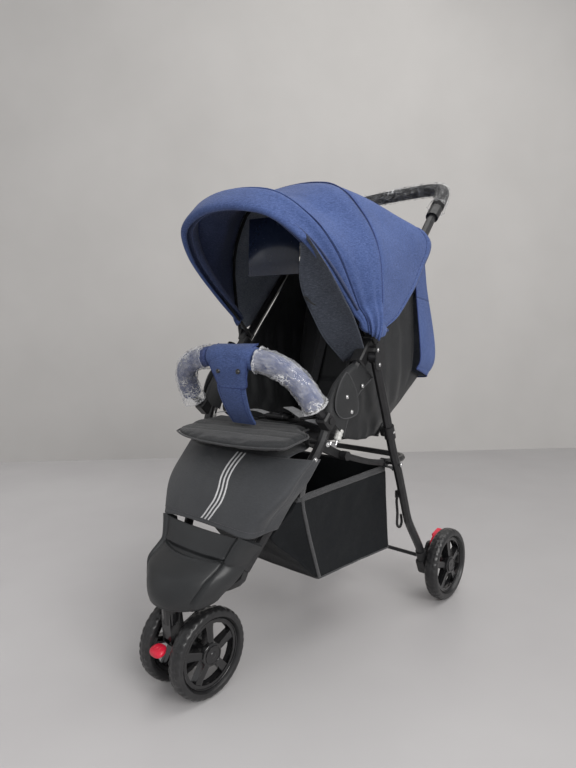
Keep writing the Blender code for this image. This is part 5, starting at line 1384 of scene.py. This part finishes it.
# ================================================================== rear flap and sling
def build_back():
    blue = [(0.537, 0.880, 0.148, 0.030), (0.574, 0.820, 0.158, 0.058), (0.598, 0.740, 0.161, 0.078), (0.616, 0.680, 0.163, 0.090), (0.631, 0.620, 0.165, 0.098),
            (0.630, 0.575, 0.163, 0.093), (0.600, 0.5400, 0.156, 0.068)]
    black = [(0.5860, 0.5400, 0.1425, 0.061), (0.525, 0.5020, 0.139, 0.040), (0.470, 0.4640, 0.1340, 0.022), (0.4310, 0.4400, 0.1360, 0.010), (0.4030, 0.4250, 0.1390, 0.004)]

    def rows_of(prof, sling):
        rows = []
        for y, z, w, back in prof:
            up = 0.35 * back if sling or z < 0.56 else (-0.55 * back if z > 0.87 else 0.1 * back)
            half = [(w, y - back, z + up), (w, y - back * 0.45, z + up * 0.45), (w * 0.93, y - back * 0.10, z + up * 0.1), (w * 0.5, y, z)]
            rows.append([P(-a, b, c) for a, b, c in half] + [P(0, y + 0.001, z)] + [P(a, b, c) for a, b, c in half[::-1]])
        return rows
    away = tuple(A(0, 0.45, 0.66))
    g = dense(rows_of(blue, False), 61, 81)
    nr = normals(g, away)
    fold = noise_grid(g, (12.0, 9.0, 5.0), 2.5) * 0.0040 + noise_grid(g, (30.0, 30.0, 14.0), 6.5) * 0.0012
    t = np.linspace(0, 1, 61)
    hem = -0.0010 * (np.exp(-((t - 0.95) / 0.010) ** 2) + np.exp(-((t - 0.04) / 0.010) ** 2))
    outer = g + nr * (fold * np.clip(t / 0.1, 0, 1)[:, None] + hem[:, None])[:, :, None]
    split = 24          # the upper piece joins the canopy's edge to the backrest, the lower one the backrest to the sling
    upper = shell2("rear_flap_upper", outer[:split + 1], (outer - nr * 0.0020)[:split + 1], [M["blue"], M["lining"]], fi=lambda a, b: 1)
    lower = shell2("rear_flap_lower", outer[split:], (outer - nr * 0.0020)[split:], [M["blue"], M["lining"]], fi=lambda a, b: 1)
    pl, pu = [lower], [upper]
    for j in (0, 80):
        pl.append(sweep("h", [Vector(p) for p in outer[split:, j]], 0.0014, M["blue_dark"], 6))
        pu.append(sweep("h", [Vector(p) for p in outer[:split + 1, j]], 0.0014, M["blue_dark"], 6))
    pl.append(sweep("h", [Vector(p) for p in outer[-1]], 0.0016, M["blue_dark"], 6))
    lower = join("rear_flap_lower", pl)
    upper = join("rear_flap_upper", pu)
    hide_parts("rear_flap")
    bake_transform(lower)
    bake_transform(upper)

    g = dense(rows_of(black, True), 31, 71)
    nr = normals(g, away)
    fold = noise_grid(g, (10.0, 22.0, 22.0), 1.9) * 0.0030
    outer = g + nr * fold[:, :, None]
    o = shell2("sling_fabric", outer, outer - nr * 0.0020, [M["black"]])
    hem = sweep("h", [Vector(p) for p in outer[-1]], 0.0016, M["binding"], 6)
    o = join("sling_fabric", [o, hem])
    put(o, "frame", ["seat_sling"])


# ================================================================== bumper bar and handle grip
BUMPER_HALF = [(0.1690, 0.1490, 0.5150), (0.1635, 0.1320, 0.5420), (0.1470, 0.1160, 0.5690), (0.1150, 0.1040, 0.5890), (0.0620, 0.0980, 0.6005), (0.0, 0.0960, 0.6040)]


def bumper_run(per=8):
    return smooth_path([P(*p) for p in BUMPER_HALF] + [P(-a, b, c) for a, b, c in BUMPER_HALF[:-1][::-1]], per)


def crinkle_tube(name, path, base, amp, mat, sides=36, seed=0.0, flare=0.0):
    """A loose wrap round a tube, creased like thin film: an outer and an inner wall joined at both ends."""
    fr = transport(path)
    length = 0.0
    total = sum((b[0] - a[0]).length for a, b in zip(fr, fr[1:]))
    rows = []
    prev = None
    for i, (p, u, v, t) in enumerate(fr):
        if prev is not None:
            length += (p - prev).length
        prev = p
        row = []
        for k in range(sides):
            a = 2 * math.pi * k / sides
            q = Vector((math.cos(a) * 1.9, math.sin(a) * 1.9, length * 26 + seed))
            q2 = Vector((math.cos(a + length * 16) * 3.4, math.sin(a + length * 16) * 3.4, length * 34 - seed))
            w = 0.7 * noise.noise(q) + 1.1 * (0.5 - abs(noise.noise(q * 1.8)) * 2.2) + 0.8 * (0.4 - abs(noise.noise(q2)) * 2.0)
            r = base + amp * w + flare * (math.exp(-length / 0.006) + math.exp(-(total - length) / 0.006))
            row.append((p, u * math.cos(a) + v * math.sin(a), max(base - amp * 0.6, r)))
        rows.append(row)
    n = len(rows)
    verts = [p + e * r for row in rows for p, e, r in row] + [p + e * (r - 0.0003) for row in rows for p, e, r in row]
    off = n * sides
    faces = []
    for i in range(n - 1):
        for k in range(sides):
            k2 = (k + 1) % sides
            faces.append((i * sides + k, i * sides + k2, (i + 1) * sides + k2, (i + 1) * sides + k))
            faces.append((off + (i + 1) * sides + k, off + (i + 1) * sides + k2, off + i * sides + k2, off + i * sides + k))
    for k in range(sides):
        k2 = (k + 1) % sides
        faces.append((k2, k, off + k, off + k2))
        e = (n - 1) * sides
        faces.append((e + k, e + k2, off + e + k2, off + e + k))
    return mesh_object(name, verts, faces, mat, recalc=True)


def resample(points, step):
    """Points evenly spaced along a path."""
    pts = [Vector(p) for p in points]
    cum = [0.0]
    for a, b in zip(pts, pts[1:]):
        cum.append(cum[-1] + (b - a).length)
    n = max(2, int(round(cum[-1] / step)))
    out = []
    for i in range(n + 1):
        t = cum[-1] * i / n
        j = max(1, next((q for q, v in enumerate(cum) if v >= t - 1e-12), len(cum) - 1))
        out.append(pts[j - 1].lerp(pts[j], (t - cum[j - 1]) / max(1e-12, cum[j] - cum[j - 1])))
    return out


def build_bumper():
    run = bumper_run(10)
    cover_x = 0.056
    off_x = 0.019       # the cover sits a little to one side, as it slides on the bar
    for s, side in ((1, "right"), (-1, "left")):
        pts = [p for p in run if p.x * s > cover_x + 0.001 + s * off_x]
        pts = pts[::-1] if s > 0 else pts
        if abs(pts[0].x) > abs(pts[-1].x):
            pts = pts[::-1]

        def rad(t, ang, s=s):
            r = 0.0194 - 0.0045 * math.exp(-((1 - t) / 0.015) ** 2)
            r += 0.0006 * math.sin(t * 60 + 2 * ang) * 0.5
            r += 0.0009 * noise.noise(Vector((t * 9, math.cos(ang) * 1.2 + s, math.sin(ang) * 1.2)))
            return r
        body = sweep("f", pts, rad, M["pad"], 28)
        # the sewn line along the underside of the cloth tube
        fr = transport(pts)
        seam = sweep("s", [p + (Vector((0, 0.6, -0.8)) - t * Vector((0, 0.6, -0.8)).dot(t)).normalized() * 0.0193 for p, u, v, t in fr[:-2]], 0.0009, M["blue_dark"], 6)
        o = join("bumper_pad_" + side, [body, seam])
        put(o, "bumper", ["bumper_foam_" + side])
        film_pts = list(pts[1:])
        if s < 0:
            film_pts.append(film_pts[-1] + (film_pts[-1] - film_pts[-3]).normalized() * 0.012)
        wrap = crinkle_tube("bumper_film_" + side, resample(film_pts, 0.0028), 0.0226, 0.0024, M["film"], 56, 3.0 * s + 5, 0.0035)
        put(wrap, "bumper")

    # cloth cover over the middle, its flap with two snaps and the strap down to the seat
    tube_pts = []
    for x in np.linspace(off_x - cover_x, off_x + cover_x, 33):
        for a, b in zip(run, run[1:]):
            if (a.x - x) * (b.x - x) <= 0 and a.x != b.x:
                tube_pts.append(a.lerp(b, (x - a.x) / (b.x - a.x)))
                break

    def rad(t, ang):
        r = 0.0220 - 0.0012 * (math.exp(-(t / 0.03) ** 2) + math.exp(-((1 - t) / 0.03) ** 2))
        return r + 0.0007 * noise.noise(Vector((t * 5, math.cos(ang) * 1.5, math.sin(ang) * 1.5)))
    wrap = sweep("w", tube_pts, rad, M["blue"], 32)
    parts = [wrap]
    # front flap: from the tube's front, down over the strap
    cols = 33
    flap_ctrl = [(0.1010, 0.6265, 0.0535, 0.0), (0.0865, 0.6195, 0.0535, 0.0), (0.0755, 0.6060, 0.0530, 0.0), (0.0735, 0.5900, 0.0505, 0.001), (0.0765, 0.5740, 0.0450, 0.003),
                 (0.0800, 0.5620, 0.0415, 0.004), (0.0835, 0.5500, 0.0385, 0.005), (0.0850, 0.5450, 0.0330, 0.005)]
    rows = []
    for y, z, w, mx in flap_ctrl:
        rows.append([P(x + off_x + mx, y + 0.006 * (abs(x) / 0.055) ** 3, z) for x in np.linspace(-w, w, 9)])
    g = dense(rows, 37, cols)
    g = np.array(g)
    # a faint ripple in the cloth along its normals
    nr = normals(g, tuple(A(0, 0.12, 0.58)))
    g = g + nr * (noise_grid(g, (20, 20, 20), 2.0) * 0.0010)[:, :, None]
    flap = shell2("flap", g, g - nr * 0.0022, [M["blue"]])
    parts.append(flap)
    border = [Vector(g[i, 0]) for i in range(0, 37)] + [Vector(g[36, j]) for j in range(1, cols)] + [Vector(g[i, cols - 1]) for i in range(35, -1, -1)]
    parts.append(sweep("pipe", border, 0.0011, M["blue_dark"], 6))
    for x in (-0.022, 0.031):
        parts.append(dome("snap", P(x + off_x, 0.0757, 0.5770), (0, -1, 0.25), 0.0052, 0.0026, M["gloss"], 18))
    strap_ctrl = [(0.0960, 0.5900, 0.0400, 0.012), (0.0895, 0.5600, 0.0395, 0.011), (0.0905, 0.5440, 0.0385, 0.010), (0.0960, 0.5300, 0.0370, 0.009), (0.1040, 0.5150, 0.0350, 0.008),
                  (0.1130, 0.5000, 0.0330, 0.007), (0.1240, 0.4850, 0.0320, 0.0065), (0.1330, 0.4735, 0.0315, 0.006)]
    rows_f, rows_b = [], []
    for y, z, w, th in strap_ctrl:
        xs = np.linspace(-w, w, 9)
        e = [1 - abs(x / w) ** 4 for x in xs]
        dx = 0.006 + (off_x - 0.006) * max(0.0, min(1.0, (z - 0.479) / 0.085))
        rows_f.append([P(x + dx, y - th * 0.5 * (0.25 + 0.75 * q), z - 0.002) for x, q in zip(xs, e)])
        rows_b.append([P(x + dx, y + th * 0.5 * (0.25 + 0.75 * q), z + 0.002) for x, q in zip(xs, e)])
    gf, gb = dense(rows_f, 41, 29), dense(rows_b, 41, 29)
    nf = normals(gf, tuple(A(0, 0.2, 0.56)))
    gf = gf + nf * (noise_grid(gf, (24, 18, 14), 5.0) * 0.0018)[:, :, None]
    parts.append(shell2("strap", gf, gb, [M["blue"]]))
    for j in (3, 25):
        parts.append(sweep("st", [Vector(gf[i, j] + nf[i, j] * 0.0002) for i in range(4, 41)], 0.0006, M["blue_dark"], 5))
    o = join("crotch_cover_fabric", parts)
    put(o, "bumper", ["crotch_cover"])

    # push handle's foam grip and the film still on it
    pts = handle_points(8)
    a = next(i for i, p in enumerate(pts) if p.z > 0.920)
    b = len(pts) - 1 - a
    run2 = pts[a:b + 1]

    def rad2(t, ang):
        return 0.0146 - 0.0022 * (math.exp(-(t / 0.004) ** 2) + math.exp(-((1 - t) / 0.004) ** 2))
    grip = sweep("handle_foam", run2, rad2, M["foam"], 26)
    put(grip, "frame", ["handle_grip"])
    wrap = crinkle_tube("handle_film", resample(run2[1:-1], 0.0032), 0.0176, 0.0024, M["film_thin"], 48, 11.0, 0.0035)
    put(wrap, "frame")


# ================================================================== small hardware and wheels
def build_hardware():
    for s, side in ((1, "right"), (-1, "left")):
        parts = [dome("r", P(s * 0.2080, 0.2920, 0.6120), (s, 0, 0), 0.0042, 0.0019, M["snap"], 16, ring=False),
                 dome("r", P(s * 0.2080, 0.2980, 0.5840), (s, 0, 0), 0.0040, 0.0018, M["snap"], 16, ring=False)]
        put(join("fold_rivets_" + side, parts), "frame")
        # bolts of the side link and the seat rail
        put(dome("link_bolt_" + side, P(s * 0.1755, 0.1780, 0.4440), (s, -0.35, 0), 0.0044, 0.0022, M["snap"], 16, ring=False), "frame")
        put(dome("tube_bolt_" + side, P(s * 0.1640, 0.1560, 0.4180), (s, -0.5, 0), 0.0042, 0.0020, M["snap"], 16, ring=False), "frame")
        put(dome("rail_bolt_" + side, P(s * 0.1885, 0.4160, 0.3660), (s, 0, 0), 0.0052, 0.0026, M["snap"], 16, ring=False), "rear_legs")
        # a clamp on the leg under the seat
        clamp = sweep("c", [P(s * 0.1843, 0.369, 0.4545), P(s * 0.1822, 0.381, 0.4290)], 0.0117, M["plastic"], 18, sharp=40)
        lug = bevel_box("l", P(s * 0.1700, 0.378, 0.4410), (0.0160, 0.0150, 0.0180), 0.003, M["plastic"], Matrix.Rotation(0.44, 3, "X"))
        bolt = dome("b", P(s * 0.1945, 0.3750, 0.4420), (s, 0, 0), 0.0036, 0.0018, M["snap"], 14, ring=False)
        put(join("leg_clamp_" + side, [clamp, lug, bolt]), "rear_legs")
        # end caps of the axles
        cap = dome("axle_cap_" + side, P(s * 0.2055, 0.6260, 0.0850), (s, 0, 0), 0.0105, 0.0032, M["gloss"], 24, ring=False)
        put(cap, "rear_wheel_" + side)
        cap = dome("front_cap_" + side, P(s * 0.0570, 0.0, 0.0800), (s, 0, 0), 0.0105, 0.0026, M["gloss"], 24, ring=False)
        put(cap, "front_wheel_" + side)


def wheel_parts(name, body, x, y, z, radius, width, side):
    """Tyre with moulded tread, and a hub trim with a ring of small bosses on the outer face."""
    c = P(x, y, z)
    w = width / 2
    ri = radius * 0.775
    steps = 180
    prof = [(-0.55, ri), (-0.95, ri + 0.004), (-1.0, radius * 0.88), (-0.94, radius * 0.93), (-0.82, radius * 0.962), (-0.62, radius * 0.985), (-0.50, radius * 0.993), (-0.34, radius * 0.999),
            (-0.16, radius), (0.0, radius), (0.16, radius), (0.34, radius * 0.999), (0.50, radius * 0.993), (0.62, radius * 0.985), (0.82, radius * 0.962), (0.94, radius * 0.93),
            (1.0, radius * 0.88), (0.95, ri + 0.004), (0.55, ri)]
    verts, faces = [], []
    m = len(prof)
    for i in range(steps):
        ang = 2 * math.pi * i / steps
        for k, (px, pr) in enumerate(prof):
            r = pr
            ax = abs(px)
            if 0.45 < ax < 0.9 and r > radius * 0.95:
                r -= 0.0014 * (1 if (i + (0 if px > 0 else 2)) % 5 < 2 else 0)
            if k in (7, 11):
                r -= 0.0013
            if ax < 0.2 and i % 10 < 2:
                r -= 0.0008
            verts.append(c + Vector((px * w, r * math.cos(ang), r * math.sin(ang))))
    for i in range(steps):
        i2 = (i + 1) % steps
        for k in range(m):
            k2 = (k + 1) % m
            faces.append((i * m + k, i * m + k2, i2 * m + k2, i2 * m + k))
    tyre = mesh_object(name + "_tread", verts, faces, [M["rubber"]], sharp=38)
    put(tyre, body, [name + "_tyre"])
    # raised ring of bosses round the hub and a rib along each twin spoke
    parts = []
    s = side
    face = c + Vector((s * w * 0.98, 0, 0))
    for k in range(10):
        ang = 2 * math.pi * k / 10 + 0.35
        at = c + Vector((s * w * 0.90, math.cos(ang) * 0.0155, math.sin(ang) * 0.0155))
        parts.append(dome("b", at, (s, 0, 0), 0.0019, 0.0013, M["gloss"], 10, ring=False))
    ring = sweep("ring", [face + Vector((s * 0.0002, math.cos(q) * 0.0158, math.sin(q) * 0.0158)) for q in np.linspace(0, 2 * math.pi, 49)[:-1]], 0.0011, M["gloss"], 8, closed=True)
    parts.append(ring)
    lip = sweep("lip", [c + Vector((s * w * 0.56, math.cos(q) * (ri - 0.0012), math.sin(q) * (ri - 0.0012))) for q in np.linspace(0, 2 * math.pi, 97)[:-1]], 0.0013, M["gloss"], 8, closed=True)
    parts.append(lip)
    for k in range(5):
        ang = 2 * math.pi * k / 5 + 0.35
        e = Vector((0, math.cos(ang), math.sin(ang)))
        t = Vector((0, -math.sin(ang), math.cos(ang)))
        rings = []
        for r, half, x0, x1 in ((0.0140, 0.0062, 0.30, 0.78), (0.0220, 0.0062, 0.28, 0.70), (0.40 * radius + 0.008, 0.0070, 0.20, 0.58), (ri - 0.0030, 0.0088, 0.10, 0.50)):
            rings.append([c + e * r + t * (half * a) + Vector((s * w * (x0 if b < 0 else x1) - s * 0.0012 * (abs(a) < 0.9 and b > 0), 0, 0))
                          for a, b in ((-1, -1), (-1, 1), (-0.72, 1), (-0.62, 1), (0.62, 1), (0.72, 1), (1, 1), (1, -1))])
        arm = loft_solid("arm", rings, M["gloss"])
        arm.data.set_sharp_from_angle(angle=math.radians(35))
        parts.append(arm)
    hub = sweep("hub", [c + Vector((s * w * q, 0, 0)) for q in (0.25, 0.80, 0.90)], lambda t, ang: 0.0205 - 0.0018 * (t > 0.9), M["gloss"], 40, sharp=40)
    parts.append(hub)
    put(join(name + "_trim", parts), body)


def build_wheels():
    for s, side in ((1, "right"), (-1, "left")):
        wheel_parts("front_wheel_" + side, "front_wheel_" + side, s * 0.043, 0.0, 0.080, 0.080, 0.030, s)
        wheel_parts("rear_wheel_" + side, "rear_wheel_" + side, s * 0.1925, 0.626, 0.085, 0.085, 0.031, s)


def build_tab():
    """The swivel lock's red tab: a rounded paddle that stands out in front of the fork."""
    rings = []
    for t, w, h in ((0.0, 0.0060, 0.0028), (0.04, 0.0105, 0.0042), (0.14, 0.0145, 0.0056), (0.34, 0.0168, 0.0066), (0.60, 0.0165, 0.0068), (0.82, 0.0130, 0.0056), (0.96, 0.0092, 0.0044), (1.0, 0.0080, 0.0034)):
        y = -0.0865 + 0.0235 * t
        z = 0.0965 + 0.0060 * t
        rings.append(superbox_ring(0, y + Y_SHIFT, z, w, h, 32, 2.8))
    o = loft_solid("swivel_tab_paddle", rings, M["red"])
    sub = o.modifiers.new("sub", "SUBSURF")
    sub.levels = sub.render_levels = 1
    apply_modifiers(o)
    ribs = [sweep("r", [P(x, -0.0815, 0.1040), P(x, -0.0745, 0.1062), P(x, -0.0680, 0.1072)], 0.0009, M["red"], 8) for x in (-0.007, 0.0, 0.007)]
    put(join("swivel_tab_paddle", [o] + ribs), "swivel_lock", ["swivel_lock_tab"])


def build_card():
    """A blank dark card on a plastic barb under the canopy."""
    at = P(-0.004, 0.232, 0.822)
    o = bevel_box("c", at, (0.114, 0.0012, 0.118), 0.0005, M["card"], Matrix.Rotation(0.30, 3, "Z") @ Matrix.Rotation(-0.06, 3, "X"), 1)
    barb = sweep("b", smooth_path([at + Vector((0, 0.001, 0.054)), at + Vector((0.002, 0.012, 0.075)), at + Vector((0.001, 0.022, 0.098))], 5), 0.0007, M["plastic"], 6)
    put(join("blank_card", [o, barb]), "canopy_mid")


def finish_cad():
    """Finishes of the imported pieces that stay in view."""
    table = {}
    for n in NODES:
        if n.startswith(("side_tube", "push_handle", "rear_leg_", "rear_crossbar", "seat_rail", "canopy_front_bow", "canopy_mid_bow", "bumper_tube")):
            table[n] = "steel"
        elif n.endswith("_rim"):
            table[n] = "gloss"
        elif n.endswith("_tyre"):
            table[n] = "rubber"
        elif n.startswith(("brake_pedal", "swivel_lock")):
            table[n] = "red"
        elif n.startswith(("lock_channel", "front_axle")):
            table[n] = "zinc"
        elif n.startswith("lock_sleeve"):
            table[n] = "white"
        elif n.startswith("nose"):
            table[n] = "nose"
        elif n in ("caster_fork",):
            table[n] = "gloss"
        else:
            table[n] = "plastic"
    for n, o in NODES.items():
        mat = M[table[n]]
        if not o.data.materials:
            o.data.materials.append(mat)
        for k in range(len(o.material_slots)):
            o.material_slots[k].material = mat


def build_stage():
    me = bpy.data.meshes.new("floor")
    s = 6.0
    me.from_pydata([(-s, -s, 0), (s, -s, 0), (s, s, 0), (-s, s, 0)], [], [(0, 1, 2, 3)])
    me.materials.append(floor_material())
    floor = link(bpy.data.objects.new("floor", me))
    # the wall stands behind the stroller, almost square to the view and clear of a camera that goes round it
    left, right = Vector((-1.2200, -0.1763, 0)), Vector((0.2235, 1.3489, 0))
    along = (right - left).normalized()
    away = Vector((-along.y, along.x, 0)) * 0.98
    left, right = left + away, right + away
    a, b = left - along * 5, right + along * 5
    me = bpy.data.meshes.new("wall")
    me.from_pydata([tuple(a), tuple(b), tuple(b + Vector((0, 0, 4))), tuple(a + Vector((0, 0, 4)))], [], [(0, 1, 2, 3)])
    me.materials.append(wall_material())
    wall = link(bpy.data.objects.new("wall", me))


make_camera()
make_light()
make_materials()
build_stage()
finish_cad()
build_nose()
build_apron()
build_seat()
build_sides()
build_basket()
build_back()
build_canopy()
build_clips()
build_bumper()
build_hardware()
build_wheels()
build_tab()
build_card()
